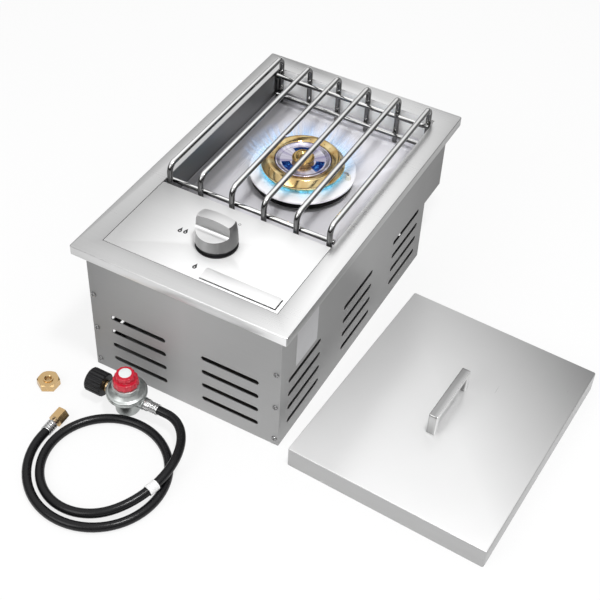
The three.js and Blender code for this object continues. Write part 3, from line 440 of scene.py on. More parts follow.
# %% The swivel nut and the paper band
HEX, HEX_LENGTH, HEX_WALL, HEX_BORE, HEX_GAP = 10.5, 17, 3, 7.4, 0.5
swivel_nut = make("swivel_nut_turned", *moved(extrude(bend((0, 0), HEX, 0, 300, 5), 0, HEX_LENGTH),
                                              on_end("swivel_nut")))
faced = [(0, -1), (HEX - 1.3, -1), (HEX + 0.4, 1.1), (HEX + 0.4, HEX_LENGTH - 1.1),
         (HEX - 1.3, HEX_LENGTH + 1), (0, HEX_LENGTH + 1)]
bored(swivel_nut, faced, on_end("swivel_nut"), 48, "INTERSECT")
socket = [(0, -2), (NECK + HEX_GAP, -2), (NECK + HEX_GAP, HEX_WALL), (HEX_BORE, HEX_WALL),
          (HEX_BORE, HEX_LENGTH - 1), (HEX_BORE + 1.4, HEX_LENGTH + 1), (0, HEX_LENGTH + 1)]
bored(swivel_nut, socket, on_end("swivel_nut"), 48)
seat(swivel_nut, "fitting_brass", "swivel_nut")
print("swivel nut:", HEX_LENGTH, "mm long")

BAND_TURN, BAND_RADIUS, BAND_BORE, BAND_LENGTH = 97.5, 7.5, 6.5, 15
band_way = hose_point(BAND_TURN + 3) - hose_point(BAND_TURN - 3)
band_place = (Matrix.Translation(hose_point(BAND_TURN))
              @ band_way.to_track_quat("Z", "Y").to_matrix().to_4x4())
band_outline = tube(BAND_BORE, BAND_RADIUS, -BAND_LENGTH / 2, BAND_LENGTH / 2)
band = seat(turned("paper_band", eased(band_outline, 0.4), band_place, 48), "band_white",
            "hose_band")
hose_route[0] * MM
[p * MM for p in hose_route]

# %% [markdown]
# ## Shader maths
# Finishes need sums: a grain laid over a slow gradient, a flame that fades with its reach.
# Writing them as Python expressions is easier to read than wiring nodes by hand, so one class
# wraps a socket and adds a Math node for each operator. One method adds every other node.


# %% A socket that can be added and multiplied
class Signal:
    """One output socket of a node tree. Arithmetic on it adds Math nodes."""

    def __init__(self, nodes, socket):
        self.nodes, self.socket = nodes, socket

    def maths(self, operation, *terms):
        return self.nodes.add("Math", {"operation": operation}, dict(enumerate(terms)))

    def __add__(self, other):
        return self.maths("ADD", self, other)

    def __sub__(self, other):
        return self.maths("SUBTRACT", self, other)

    def __rsub__(self, other):
        return self.maths("SUBTRACT", other, self)

    def __mul__(self, other):
        return self.maths("MULTIPLY", self, other)

    def __pow__(self, other):
        return self.maths("POWER", self, other)

    __radd__, __rmul__ = __add__, __mul__


# %% A node tree
class Nodes:
    """The nodes of a material or of the world."""

    def __init__(self, tree):
        self.tree = tree

    def wire(self, node, sockets):
        """Gives each socket its value, or links the signal that is given for it."""
        for name, value in sockets.items():
            if isinstance(value, Signal):
                self.tree.links.new(value.socket, node.inputs[name])
            else:
                node.inputs[name].default_value = value

    def add(self, kind, settings=None, sockets=None, out=0):
        """A new node: its type, its settings first, then the values or links of its sockets."""
        node = self.tree.nodes.new("ShaderNode" + kind)
        for name, value in (settings or {}).items():
            if name == "stops":
                stops = node.color_ramp.elements
                for i, (place, colour) in enumerate(value):
                    stop = stops[i] if i < len(stops) else stops.new(place)
                    stop.position, stop.color = place, (*colour, 1)
            else:
                setattr(node, name, value)
        self.wire(node, sockets or {})
        return Signal(self, node.outputs[out])

    def vector(self, operation, first, second, out=0):
        """Vector maths on two vectors."""
        return self.add("VectorMath", {"operation": operation}, {0: first, 1: second}, out)

    def spread(self, value, start, end):
        """A number that goes from 0 to 1 while the value goes from a start to an end."""
        return self.add("MapRange", None, {"Value": value, "From Min": start, "From Max": end})


# %% A finish
BURNER_X, BURNER_Y, RIM_LEVEL = 0, 70.5, 191.2


class Finish(Nodes):
    """A material with one Principled shader and the nodes that vary it over the surface."""

    def __init__(self, name, **shader):
        self.material = bpy.data.materials.new(name)
        self.material.use_nodes = True
        super().__init__(self.material.node_tree)
        self.principled = self.tree.nodes["Principled BSDF"]
        self.set(**shader)
        self.where = self.add("TexCoord", out="Object")

    def set(self, **shader):
        """Feeds the shader: Base_Color, Roughness, Metallic, Normal and the like."""
        self.wire(self.principled, {k.replace("_", " "): v for k, v in shader.items()})

    def mix(self, share, first, second, **settings):
        """A colour between two colours."""
        return self.add("Mix", {"data_type": "RGBA", **settings}, {0: share, 6: first, 7: second},
                        out=2)

    def noise(self, scale, detail=2.0, rough=0.5, where=None):
        """A cloudy pattern between 0 and 1, so many times a metre."""
        return self.add("TexNoise", None, {"Vector": where or self.where, "Scale": scale,
                                           "Detail": detail, "Roughness": rough})

    def stretched(self, scale):
        """Object places scaled along each axis, for a grain that runs one way."""
        return self.add("Mapping", None, {"Vector": self.where, "Scale": scale})

    def along(self, way, start, end):
        """A number that goes from 0 to 1 between two distances along a direction."""
        reach = self.vector("DOT_PRODUCT", self.where, way, "Value")
        return self.spread(reach, start * MM, end * MM)

    def facing(self, way, start, end):
        """A number that goes from 0 to 1 as faces turn toward a direction."""
        toward = self.vector("DOT_PRODUCT", self.add("TexCoord", out="Normal"), way, "Value")
        return self.spread(toward, start, end)

    def ray(self):
        """The level direction away from the burner's axis."""
        axis = (BURNER_X * MM, BURNER_Y * MM, 0)
        flat = self.vector("MULTIPLY", self.vector("SUBTRACT", self.where, axis), (1, 1, 0))
        return self.add("VectorMath", {"operation": "NORMALIZE"}, {0: flat})

    def bump(self, height, depth, reach):
        """Small relief in the surface."""
        return self.add("Bump", None, {"Height": height, "Strength": depth, "Distance": reach})


def tone(level, tint=(1, 1, 1)):
    """A grey as it is seen in the picture, from 0 to 1, as the light that it stands for."""
    return tuple((((c * level) + 0.055) / 1.055) ** 2.4 if c * level > 0.04045
                 else c * level / 12.92 for c in tint)


# %% [markdown]
# ## Metals
# Brushed sheet has a fine grain along the rolling direction and slow cloudy changes in roughness.
# Both are noise, stretched for the grain. Over them lies a ramp of tone along one direction, which
# is painted reflection and shade, and some finishes are painted lighter or darker by the way a face
# looks, as painted highlight and shade. A metal's tone is its base colour, so that the lamps can
# stay plain. Sheet that mirrors a bright room in the photo is partly matt here, because a mirror
# would show this studio's own dark places.

# %% Brushed, polished and cast metal
BLACK, WHITE = (0, 0, 0, 1), (1, 1, 1, 1)
GRAINS = {"x": (12, 900, 900), "y": (900, 12, 900), None: (260, 260, 260)}


def metal(name, level, tint=(1, 1, 1), rough=0.3, grain=None, strength=0.05, cloud=0.03,
          relief=0.06, slope=None, facing=None, metallic=1.0, uneven=0.12, spun_highlight=0):
    """A metal finish. The grain runs along x or y, or nowhere. A slope (way, start, end, stops)
    paints reflection and shade as a tone that changes from place to place, and a facing paints
    highlight and shade by the way that a face looks.

    A turned finish can get painted highlights: the metal is then brighter in some directions
    round the burner's axis than in others."""
    finish = Finish(name, Metallic=metallic)
    hair = finish.noise(1, 3, 0.6, finish.stretched(GRAINS[grain]))
    slow = finish.noise(14, 2)
    base = (*tone(level, tint), 1)
    if slope or facing:
        *reach, stops = slope or facing
        share = finish.along(*reach) if slope else finish.facing(*reach)
        base = finish.add("ValToRGB", {"stops": [(p, tone(v, tint)) for p, v in stops]},
                          {"Fac": share})
    change = (hair - 0.5) * strength * 2 + (slow - 0.5) * cloud * 2 + 0.5
    # Noise round the burner's axis adds painted highlights.
    if spun_highlight:
        change = change + (finish.noise(3.5, 1, 0.5, finish.ray()) - 0.5) * spun_highlight * 2
    # Base holds any painted shade ramp; the grain and cloud lie over it.
    grain_over_painted_shade = finish.mix(1.0, base, finish.mix(change, BLACK, WHITE), blend_type="SOFT_LIGHT")
    finish.set(Base_Color=grain_over_painted_shade, Roughness=rough + (hair - 0.5) * uneven + (slow - 0.5) * 0.08,
               Normal=finish.bump(hair, relief, 0.0002))
    return finish.material


# %% Steels of the housing
COOL = (0.985, 0.98, 1.0)
# The slopes of the flange, front, side and panel steels paint reflection and shade as tone that
# changes across the sheet.
steel_flange = metal(
    "brushed flange", 0.88, grain="x", strength=0.08, relief=0.03,
    slope=((1, 0.35, 0), -240, 240,
           [(0, 0.79), (0.12, 0.84), (0.5, 0.87), (0.7, 0.99), (0.85, 0.96), (1, 0.84)]))
steel_edge_painted_shade = metal("turned-down edge in painted shade", 0.62, rough=0.34, grain="y")
steel_front = metal("brushed front", 0.67, rough=0.55, grain="x", metallic=0.75,
                    slope=((1, 0, 0), -146, 146, [(0, 0.57), (0.5, 0.73), (1, 0.67)]))
steel_side = metal("brushed side", 0.58, rough=0.36, grain="y",
                   slope=((0, 1, 0), -247, 247, [(0, 0.6), (0.5, 0.57), (1, 0.38)]))
steel_panel = metal("brushed panel", 0.96, rough=0.45, grain="x", relief=0.03, metallic=0.3,
                    slope=((1, 0.15, 0), -150, 110, [(0, 0.75), (0.35, 0.93), (0.6, 0.98)]))
steel_well = metal("well sheet", 1.0, rough=0.4, grain="x", strength=0.12, cloud=0.08,
                   metallic=0.25)
steel_shaded = metal("shaded well side", 0.52, rough=0.36, grain="y")
# The tray is painted darker along its left wall, a painted reflection of that dark wall, and its
# tone rises to the right as painted shade.
steel_tray = metal(
    "bright tray", 0.93, COOL, grain="y", cloud=0.04, relief=0.02, metallic=0.2,
    slope=((1, 0, 0), -129, 129, [(0, 0.5), (0.06, 0.54), (0.13, 0.85), (0.4, 0.97), (1, 1.0)]))
steel_hidden = metal("plain sheet", 0.6, rough=0.4, grain="x", cloud=0.08)
# The lid's slope paints it darker toward the rear left, as painted reflection and shade.
steel_lid = metal(
    "lid sheet", 0.84, grain="y", strength=0.01, relief=0.01, uneven=0.04, metallic=0.35,
    slope=((-1, -0.85, 0), -528, 54, [(0, 0.52), (0.25, 0.74), (0.5, 0.89), (1, 0.95)]))
lid_edge_painted_shade = metal("lid edge in painted shade", 0.71, rough=0.34, grain="x", metallic=0.8)
steel_plate = metal("name plate", 0.98, rough=0.4, grain="x", strength=0.02, relief=0.02,
                    metallic=0.6)

# %% Polished and cast metals
BRASS, PALE_BRASS, CAP_BRASS = (1.0, 0.85, 0.62), (1.0, 0.87, 0.62), (1.0, 0.85, 0.56)
# The rods are painted light on top and dark on their sides, as painted highlight and reflection.
chrome = metal("polished rod", 0.93, rough=0.08, strength=0.02, relief=0.01,
               facing=((0, 0, 1), 0.45, 0.88, [(0, 0.4), (0.5, 0.7), (1, 1.0)]))
# The strap is painted light on the faces that look right, as painted reflection.
chrome_handle = metal("polished strap", 0.92, rough=0.08, strength=0.02, relief=0.01, uneven=0.04,
                      facing=((1, 0, 0), 0, 1, [(0, 0.66), (0.4, 0.96), (1, 0.97)]))
screw_metal = metal("screw head", 0.6, rough=0.2)
disc_metal = metal("polished disc", 1.0, (0.99, 0.985, 1.0), rough=0.36, strength=0.03,
                   relief=0.02, metallic=0.15)
# The ring and the cup below get painted highlights that change round the burner's axis.
brass_ring = metal("ring brass", 0.86, PALE_BRASS, 0.14, strength=0.08, cloud=0.1, spun_highlight=0.9)
brass_cap = metal("cap brass", 0.84, CAP_BRASS, 0.16, strength=0.08, cloud=0.1)
cup_metal = metal("heat-tinted cup", 0.88, (0.93, 0.91, 1.0), 0.2, cloud=0.12, spun_highlight=1.4)
brass_fitting = metal("fitting brass", 0.82, BRASS, 0.26, strength=0.08, cloud=0.1)
zinc_cast = metal("cast zinc", 0.74, (0.98, 1.0, 0.99), 0.36, strength=0.12, relief=0.2)
zinc_crimp = metal("plated sleeve", 0.78, rough=0.24, strength=0.06)
# The knob is painted light on its top and dark on its sides, as painted highlight and shade.
knob_metal = metal(
    "satin knob", 0.7, rough=0.34, strength=0.02, relief=0.01, uneven=0.03,
    facing=((-0.5, -0.15, 1), -0.5, 1, [(0, 0.4), (0.22, 0.45), (0.5, 0.62), (0.7, 0.66),
                                        (0.9, 0.92)]))
spring_metal = metal("spring wire", 0.7, rough=0.25)
shutter_metal = metal("plated shutter", 0.66, rough=0.4)
iron = metal("cast iron", 0.06, rough=0.6, strength=0.3, cloud=0.2, relief=0.5)
print(len(bpy.data.materials), "metals")

# %% Rubber, plastic, porcelain and paper
MOTTLE = 0.06


def moulded(name, colour, rough=0.4, grain=500, relief=0.08, **shader):
    """A moulded or fired surface with a fine pebble and a little mottling."""
    finish = Finish(name, **shader)
    pebble, slow = finish.noise(grain, 3), finish.noise(30, 2)
    light = tuple(min(c * (1 + MOTTLE) + MOTTLE * 0.02, 1) for c in colour)
    dark = tuple(c * (1 - MOTTLE) for c in colour)
    finish.set(Base_Color=finish.mix(slow, (*dark, 1), (*light, 1)),
               Roughness=rough + (pebble - 0.5) * 0.15, Normal=finish.bump(pebble, relief, 0.0003))
    return finish.material


rubber = moulded("hose rubber", (0.004, 0.004, 0.005), 0.26, 700, 0.04, Specular_IOR_Level=0.3)
black_plastic = moulded("black plastic", (0.008, 0.008, 0.009), 0.45)
wheel_plastic = moulded("wheel plastic", (0.006, 0.006, 0.007), 0.38, 600, 0.15,
                        Specular_IOR_Level=0.3)
red_plastic = moulded("red plastic", (0.56, 0.008, 0.03), 0.24, 300, 0.04, Coat_Weight=0.3)
porcelain = moulded("porcelain", (0.8, 0.78, 0.7), 0.2, 200, 0.03)
white_band = moulded("white band", (0.85, 0.85, 0.85), 0.5, 400, 0.05)
dial_white = moulded("dial disc", (0.8, 0.84, 0.84), 0.3, 300, 0.03)
# This dark finish serves printed marks, and the painted shade of the plate's edge and of the seams.
print_and_painted_shade = moulded("panel print and painted shade", (0.012, 0.012, 0.013), 0.5, 800, 0.02)
label_paper = moulded("bare label", (0.47, 0.47, 0.48), 0.45, 300, 0.02)
print(len(bpy.data.materials), "materials so far")


# %% Paint the pieces
def paint(piece, material):
    """Puts a finish into a piece's only material slot."""
    piece.data.materials.clear()
    piece.data.materials.append(material)
    return piece


def dress(piece, material, slot, *nodes, body="housing"):
    """Seats a piece and paints it."""
    return paint(seat(piece, slot, *nodes, body=body), material)


for piece, material in ((hose, rubber), (outlet, zinc_crimp), (swivel_ferrule, zinc_crimp),
                        (swivel_nut, brass_fitting), (band, white_band)):
    paint(piece, material)

# %% [markdown]
# ## Folded sheet
# The flange, the lid, the tray and the liner are folded sheet 1.2 mm thick. Their CAD shape is
# right, so crisp copies of it with a fine bevel are enough. The vented walls get their slots
# cut again with rounder ends than the CAD has.

# %% Sheet pieces
SHEETS = {
    "top_frame": (steel_flange, "stainless_frame", 0.25),
    "well_liner": (steel_well, "stainless_inner", 0.3),
    "drip_tray": (steel_tray, "stainless_tray", 0.3),
    "control_panel": (steel_panel, "stainless_panel", 0.3),
    "bottom_pan": (steel_hidden, "stainless_housing", 0.3),
    "heat_shield": (steel_hidden, "stainless_inner", 0.3),
    "rear_upper_panel": (steel_front, "stainless_housing", 0.25),
}
LOOKS_THAT_WAY = 0.6
sheets = {node: dress(crisp(node, node + "_sheet", width), material, slot, node)
          for node, (material, slot, width) in SHEETS.items()}


def refaced(piece, way, material):
    """Gives the faces that look a certain way a finish of their own: a darker copy, painted shade.
    """
    piece.data.materials.append(material)
    for face in piece.data.polygons:
        if face.normal.dot(Vector(way)) > LOOKS_THAT_WAY:
            face.material_index = len(piece.data.materials) - 1
    return piece


# The flange's right-facing drop and the well's left wall take darker copies of their steel: painted
# shade.
refaced(sheets["top_frame"], (1, 0, 0), steel_edge_painted_shade)
refaced(sheets["well_liner"], (1, 0, 0), steel_shaded)
print("sheet pieces:", len(sheets))

# %% Vented walls
VENT_LENGTH, VENT_WIDTH, VENT_PITCH, VENT_LOWEST, VENT_ROWS = 87, 8, 26.3, 28, 4
FRONT_VENTS, SIDE_VENTS, CUT = (-71.25, 71.25), (-153.9, 0, 153.9), 4
FRONT_FACE, SIDE_FACE, REAR_FACE = -246.4, 145.4, 192
STAND = turn(90, "X")
vent_end, vent_straight = VENT_WIDTH / 2, (VENT_LENGTH - VENT_WIDTH) / 2
vent = (bend((vent_straight, 0), vent_end, -90, 90, 10)
        + bend((-vent_straight, 0), vent_end, 90, 270, 10))


def vented(node, material, middles, matrix):
    """A wall with its slots cut clean, in rows above each of the given middles."""
    cutter = extrude(vent, -CUT, CUT)
    shapes = [moved(cutter, matrix @ at(x, VENT_LOWEST + row * VENT_PITCH, 0))
              for x in middles for row in range(VENT_ROWS)]
    wall = carve(crisp(node, node + "_sheet", 0), *shapes, angle=30)
    dress(wall, material, "stainless_housing", node)
    print(node, "has", len(shapes), "slots")


wall_middle = (corners("right_panel")[0].y + corners("rear_lower_panel")[0].y) / 2
side_middles = [wall_middle + offset for offset in SIDE_VENTS]
vented("front_panel", steel_front, FRONT_VENTS, at(0, FRONT_FACE, 0) @ STAND)
for node, x in (("right_panel", SIDE_FACE), ("left_panel", -SIDE_FACE)):
    vented(node, steel_side, side_middles, at(x, 0, 0) @ turn(90, "Z") @ STAND)
vented("rear_lower_panel", steel_front, FRONT_VENTS, at(0, REAR_FACE, 0) @ STAND)

# %% [markdown]
# ## Screws
# Six bright pan heads hold the front to the side tabs. A pan head is a turned dome with a cross
# recess. So it is turned, and then cut once for each arm of the cross, because two cutters that
# overlap are harder on the boolean.

# %% Panel screws
HEAD, HEAD_HEIGHT, HEAD_RIM, SHANK, SHANK_LENGTH = 4, 2.4, 0.7, 1.8, 6
ARM_LENGTH, ARM_WIDTH, ARM_DEPTH, SCREW_FACE = 6.2, 1.1, 1.2, -247
dome = [(HEAD * math.cos(a), HEAD_RIM + (HEAD_HEIGHT - HEAD_RIM) * math.sin(a))
        for a in (math.pi / 2 * i / 8 for i in range(8))]
screw_outline = ([(0, -SHANK_LENGTH), (SHANK, -SHANK_LENGTH), (SHANK, 0), (HEAD, 0)] + dome
                 + [(0, HEAD_HEIGHT)])


def bar_box(x, y, z):
    """A box from three (low, high) pairs."""
    return extrude(rectangle(x, y), *z)


for number in range(1, 7):
    x, _, z = middle(f"panel_screw_{number}")
    place = at(x, SCREW_FACE, z) @ STAND
    head = turned(f"pan_head_{number}", screw_outline, place, 40)
    for a, b in ((ARM_LENGTH, ARM_WIDTH), (ARM_WIDTH, ARM_LENGTH)):
        carve(head, moved(bar_box((-a / 2, a / 2), (-b / 2, b / 2),
                                  (HEAD_HEIGHT - ARM_DEPTH, HEAD_HEIGHT + 1)), place))
    dress(head, screw_metal, "screw_steel", f"panel_screw_{number}")
print("the last screw is at height", round(z))

# %% [markdown]
# ## Control panel trim
# Near the front right of the panel lies a thin name plate, left bare here. A dark strip along its
# lower and right edges is its painted shadow. Small flame marks beside the knob show high and low,
# and a ring behind it shows off. They are laid on as thin inlays, the marks less than a tenth of a
# millimetre high, because a printed mark has clean edges at any zoom.

# %% Name plate
PANEL_TOP, SUNK = 226, 0.05
PLATE_X, PLATE_Y, PLATE_HEIGHT, PLATE_SHADOW_HEIGHT = (13, 122), (-224.5, -204.5), 0.5, 0.3


def laid(name, outline, thickness, hole=None):
    """A thin plate or mark on the panel."""
    piece = make(name, *extrude(outline, PANEL_TOP - SUNK, PANEL_TOP + thickness))
    if hole:
        carve(piece, extrude(hole, PANEL_TOP - 1, PANEL_TOP + 1))
    return seat(piece, "stainless_panel")


name_plate = laid("name_plate", eased(rectangle(PLATE_X, PLATE_Y), 2.5, 5), PLATE_HEIGHT)
paint(bevelled(name_plate, 0.15), steel_plate)
# The dark strip along the plate's lower and right edges is painted shadow.
line = [(14, -226.6), (124.0, -226.6), (124.0, -206.5), (122.3, -206.5), (122.3, -224.9),
        (14, -224.9)]
paint(laid("name_plate_painted_shadow", line, PLATE_SHADOW_HEIGHT), print_and_painted_shade)

# %% Flame marks and the ring for off
MARKS = {"high_mark_1": (-54.9, -163.5), "high_mark_2": (-47.2, -162.3), "low_mark": (-1.5, -212)}
MARK, MARK_HOLE, MARK_LEAN, MARK_HEIGHT, MARK_STEPS = 2.8, 0.3, 0.15, 0.08, 20
OFF_MARK, OFF_RADIUS, OFF_HOLE = (5.5, -113), 1.9, 0.72


def drop(x, y, size):
    """Outline of a flame mark: a drop whose tip leans over."""
    points = []
    for i in range(MARK_STEPS):
        a = math.tau * i / MARK_STEPS
        tip = max(math.sin(a), 0) ** 3
        px, py = math.cos(a) * (1 - 0.75 * tip) + 0.4 * tip, 1.15 * math.sin(a) + 1.4 * tip
        c, s = math.cos(MARK_LEAN), math.sin(MARK_LEAN)
        points.append((x + size * (px * c - py * s), y + size * (px * s + py * c)))
    return points


for name, (x, y) in MARKS.items():
    hole = drop(x + 0.1, y - 0.5, MARK * MARK_HOLE)
    paint(laid(name, drop(x, y, MARK), MARK_HEIGHT, hole), print_and_painted_shade)
off_ring, off_hole = (bend(OFF_MARK, OFF_RADIUS * share, 0, 345, 23) for share in (1, OFF_HOLE))
paint(laid("off_mark", off_ring, MARK_HEIGHT, off_hole), print_and_painted_shade)
print("marks:", len(MARKS) + 1)

# %% Painted seam shade and side label
SEAM_SHADE_LEVEL, OPEN_X, OPEN_Y = (222, 225.3), 129.5, -230.5
LABEL_X, LABEL_Y, LABEL_Z = (145.9, 146.15), (-207, -150), (119, 181)
low, high = corners("control_panel")
# Dark strips in the gaps round the control panel are painted shade of the seams.
seam_shade = [((-OPEN_X, low.x), (low.y, high.y)), ((high.x, OPEN_X), (low.y, high.y)),
        ((-OPEN_X, OPEN_X), (OPEN_Y, low.y))]
dress(make("panel_seam_shade", *merged(*[bar_box(x, y, SEAM_SHADE_LEVEL) for x, y in seam_shade])), print_and_painted_shade,
      "bezel_plastic")
dress(make("side_label", *bar_box(LABEL_X, LABEL_Y, LABEL_Z)), label_paper, "band_white")
print("seal strips:", len(seam_shade))

# %% [markdown]
# ## Grate
# Six polished rods, each bent down at both ends, are welded across four straight bars. A swept
# circle follows the bends. A small bead of weld sits where a leg meets a bar.

# %% Rods
ROD, CROSS, BEND, BEND_STEPS, ROD_SIDES = 4, 3.5, 12, 12, 28
rod_x = []
for number in range(1, 7):
    low, high = corners(f"grate_rod_{number}")
    inset, x = (high.x - low.x) / 2, (low.x + high.x) / 2
    front, back, top = low.y + inset, high.y - inset, high.z - inset
    rod_x.append(x)
    place = lambda y, z, x=x: (x, y, z)
    path = ([(x, front, low.z)]
            + bend((front + BEND, top - BEND), BEND, 180, 90, BEND_STEPS, place)
            + bend((back - BEND, top - BEND), BEND, 90, 0, BEND_STEPS, place) + [(x, back, low.z)])
    rod = bevelled(make(f"rod_{number}", *sweep(path, ROD, ROD_SIDES)), 0.5, angle=60)
    dress(rod, chrome, "grate_steel", f"grate_rod_{number}")
print("rods at x", [round(x) for x in rod_x])

# %% Bars and weld beads
BEAD = [(0, -2.1), (1.5, -1.7), (2.3, -0.8), (2.5, 0), (2.3, 0.8), (1.5, 1.7), (0, 2.1)]
for level in ("upper", "lower"):
    for end, leg in (("front", front), ("rear", back)):
        node = f"grate_{end}_{level}_bar"
        low, high = corners(node)
        y, z = (low.y + high.y) / 2, (low.z + high.z) / 2
        bar = make(node + "_round", *sweep([(low.x, y, z), (high.x, y, z)], CROSS, ROD_SIDES))
        dress(bevelled(bar, 0.6, angle=60), chrome, "grate_steel", node)
        touch_y = leg + (y - leg) * ROD / (ROD + CROSS)
        beads = [moved(lathe(BEAD, 16), at(x, touch_y, z)) for x in rod_x]
        dress(make(node + "_welds", *merged(*beads)), chrome, "grate_steel", body="grate")
print("weld beads a bar:", len(beads))

# %% [markdown]
# ## Burner
# From below: a cast-iron bowl, a bright disc over its rim, a brass ring that flares out above a
# row of ports, a shallow dish with three windows, and a brass cap in the middle. All are turned
# parts, so their outlines carry the shape, and ports and windows are cut afterwards.

# %% Cast-iron bowl
IGNITER_X, IGNITER_Y, IGNITER_HOLE, IGNITER_REACH = 66.0, 83.3, 4.2, (-40, 8)
MOUTH, MOUTH_REACH, LIP, LIP_REACH, MOUTH_DROP = 11.3, (-74, -24), 14, (-56, -48.3), 41.2
BURNER, IGNITER = at(BURNER_X, BURNER_Y, RIM_LEVEL), at(IGNITER_X, IGNITER_Y, RIM_LEVEL)
bowl_outline = [(0, -60.2), (46, -60.2), (52, -54.2), (52, -17), (54, -11), (74.5, -11), (74.5, 0),
                (50, 0), (50, -4), (48, -10), (48, -56.2), (9, -56.2), (9, 14), (0, 14)]
bowl = turned("iron_bowl", eased(bowl_outline, 1.2), BURNER)
mouth = BURNER @ at(0, 0, -MOUTH_DROP) @ TO_Y
bored(bowl, tube(0, MOUTH, *MOUTH_REACH), mouth, 48)
bored(bowl, tube(MOUTH, LIP, *LIP_REACH), mouth, 48, "UNION")
igniter_hole = tube(0, IGNITER_HOLE, *IGNITER_REACH)
bored(bowl, igniter_hole, IGNITER, 32)
dress(bowl, iron, "burner_iron", "burner_base")
print("mouth of the bowl:", 2 * MOUTH, "mm across")

# %% Disc
disc_outline = [(53.8, 0), (75.3, 0), (75.3, -1.8), (76.5, -1.8), (76.5, 1.0), (75.3, 1.5),
                (53.8, 1.5)]
disc = turned("bright_disc", eased(disc_outline, 0.5), BURNER, 128)
bored(disc, igniter_hole, IGNITER, 32)
dress(disc, disc_metal, "disc_steel", "burner_disc")
print("disc:", 2 * disc_outline[3][0], "mm across")

# %% Brass ring with its ports
PORTS, PORT_X, PORT_Y, PORT_Z = 48, (47.5, 64), (-0.9, 0.9), (4, 7)
RING_HOLES, RING_DRILL, RING_DRILL_AT, RING_DRILL_LEAN = 24, 0.75, (44.6, 0, 20.6), -22


def around(count, start=0):
    """Evenly turned places about the burner's axis."""
    return [BURNER @ turn((i + start) * 360 / count, "Z") for i in range(count)]


ring_outline = [(50.3, 0), (53.5, 0), (53.5, 2), (60, 11.5), (60, 13.8), (56.8, 17), (52, 22),
                (48, 22), (40.5, 19), (40.5, 2), (43.1, 2), (43.1, 15), (48, 18), (56.8, 13),
                (50.3, 2)]
ring = turned("brass_ring", eased(ring_outline, 1.1, 4), BURNER, 144)
port = bar_box(PORT_X, PORT_Y, PORT_Z)
carve(ring, *[moved(port, spot) for spot in around(PORTS, 0.5)])
ring_hole = lathe(tube(0, RING_DRILL, -6, 6), 12)
carve(ring, *[moved(ring_hole, spot @ at(*RING_DRILL_AT) @ turn(RING_DRILL_LEAN, "Y"))
              for spot in around(RING_HOLES)])
dress(ring, brass_ring, "ring_brass", "flame_ring")
print("ports:", PORTS)

# %% Cup with its windows
WINDOWS, WINDOW_INNER, WINDOW_OUTER, WINDOW_HALF, WINDOW_CUT = 3, 18.5, 31, 26, (9, 21)
cup_outline = [(0, 14), (35, 14), (39.7, 16.5), (39.7, 19), (37.7, 19), (37.7, 18.5), (33, 16),
               (0, 16)]
cup = turned("windowed_cup", eased(cup_outline, 1.0, 4), BURNER, 112)
window = (bend((0, 0), WINDOW_OUTER, -WINDOW_HALF, WINDOW_HALF, 12)
          + bend((0, 0), WINDOW_INNER, WINDOW_HALF, -WINDOW_HALF, 12))
window_cutter = extrude(eased(window, 1.2), *WINDOW_CUT)
carve(cup, *[moved(window_cutter, spot) for spot in around(WINDOWS)])
dress(cup, cup_metal, "cup_steel", "inner_cup")
print("windows:", WINDOWS)

# %% Glow under the windows, and cap
GLOW, GLOW_RING = [(0.5, (0.004, 0.008, 0.08)), (0.7, (0.05, 0.22, 0.6))], (10, 40, 8, 10)
CAP_LEVEL, CAP_HOLES, CAP_DRILL, CAP_DRILL_AT, CAP_DRILL_LEAN = 16, 16, 0.7, (14.6, 0, 24.6), 45
# The blue ring under the windows glows as painted light: it stands for the flames' blue seen
# through them.
glow_finish = Finish("blue glow", Emission_Strength=0.5, Specular_IOR_Level=0.1)
speck = glow_finish.noise(520, 2)
glow_colour = glow_finish.add("ValToRGB", {"stops": GLOW}, {"Fac": speck})
glow_finish.set(Base_Color=glow_colour, Emission_Color=glow_colour, Roughness=speck * 0.2 + 0.4)
dress(turned("window_painted_glow", tube(*GLOW_RING), BURNER, 64), glow_finish.material, "cup_steel",
      body="burner_head")

cap_outline = [(0, 0), (13, 0), (13, 3), (16, 4), (16, 7), (13, 10), (8, 10), (6, 8), (0, 8)]
cap = turned("brass_cap", eased(cap_outline, 0.9, 4), BURNER @ at(0, 0, CAP_LEVEL), 80)
cap_hole = lathe(tube(0, CAP_DRILL, -2, 3), 10)
carve(cap, *[moved(cap_hole, spot @ at(*CAP_DRILL_AT) @ turn(CAP_DRILL_LEAN, "Y"))
             for spot in around(CAP_HOLES)])
dress(cap, brass_cap, "cap_brass", "centre_cap")
print("holes in the cap:", CAP_HOLES)

# %% Igniter
IGNITER_TURN, WIRE_BORE, SLEEVE_FOOT = 11, 1.4, -35.2
WIRE, WIRE_BEND = 1.1, 2.2
sleeve = [(WIRE_BORE, SLEEVE_FOOT), (3.5, SLEEVE_FOOT), (3.5, 1.5), (4.4, 1.5), (4.4, 3.5),
          (3.5, 3.5), (3.5, 8), (WIRE_BORE, 8)]
dress(turned("porcelain_sleeve", eased(sleeve, 0.4), IGNITER, 32), porcelain,
      "igniter_porcelain", "igniter_ceramic")
wire_path = ([(0, 0, SLEEVE_FOOT)]
             + bend((-WIRE_BEND, 9.1), WIRE_BEND, 0, 90, 8, lambda x, z: (x, 0, z))
             + [(-6.5, 0, 11.3)])
wire = moved(sweep(wire_path, WIRE, 14), IGNITER @ turn(IGNITER_TURN, "Z"))
spark_wire = make("spark_wire", *wire)
dress(spark_wire, screw_metal, "igniter_metal", "igniter_wire")
print("igniter stands at", IGNITER_X, IGNITER_Y)

# %% [markdown]
# ## Flames
# The picture shows the burner lit. Each port feeds a thin blue tongue that leans out over the
# disc. A tongue is a swept taper, see-through, brightest at its root. The flames stay on the
# housing when the head is lifted off.


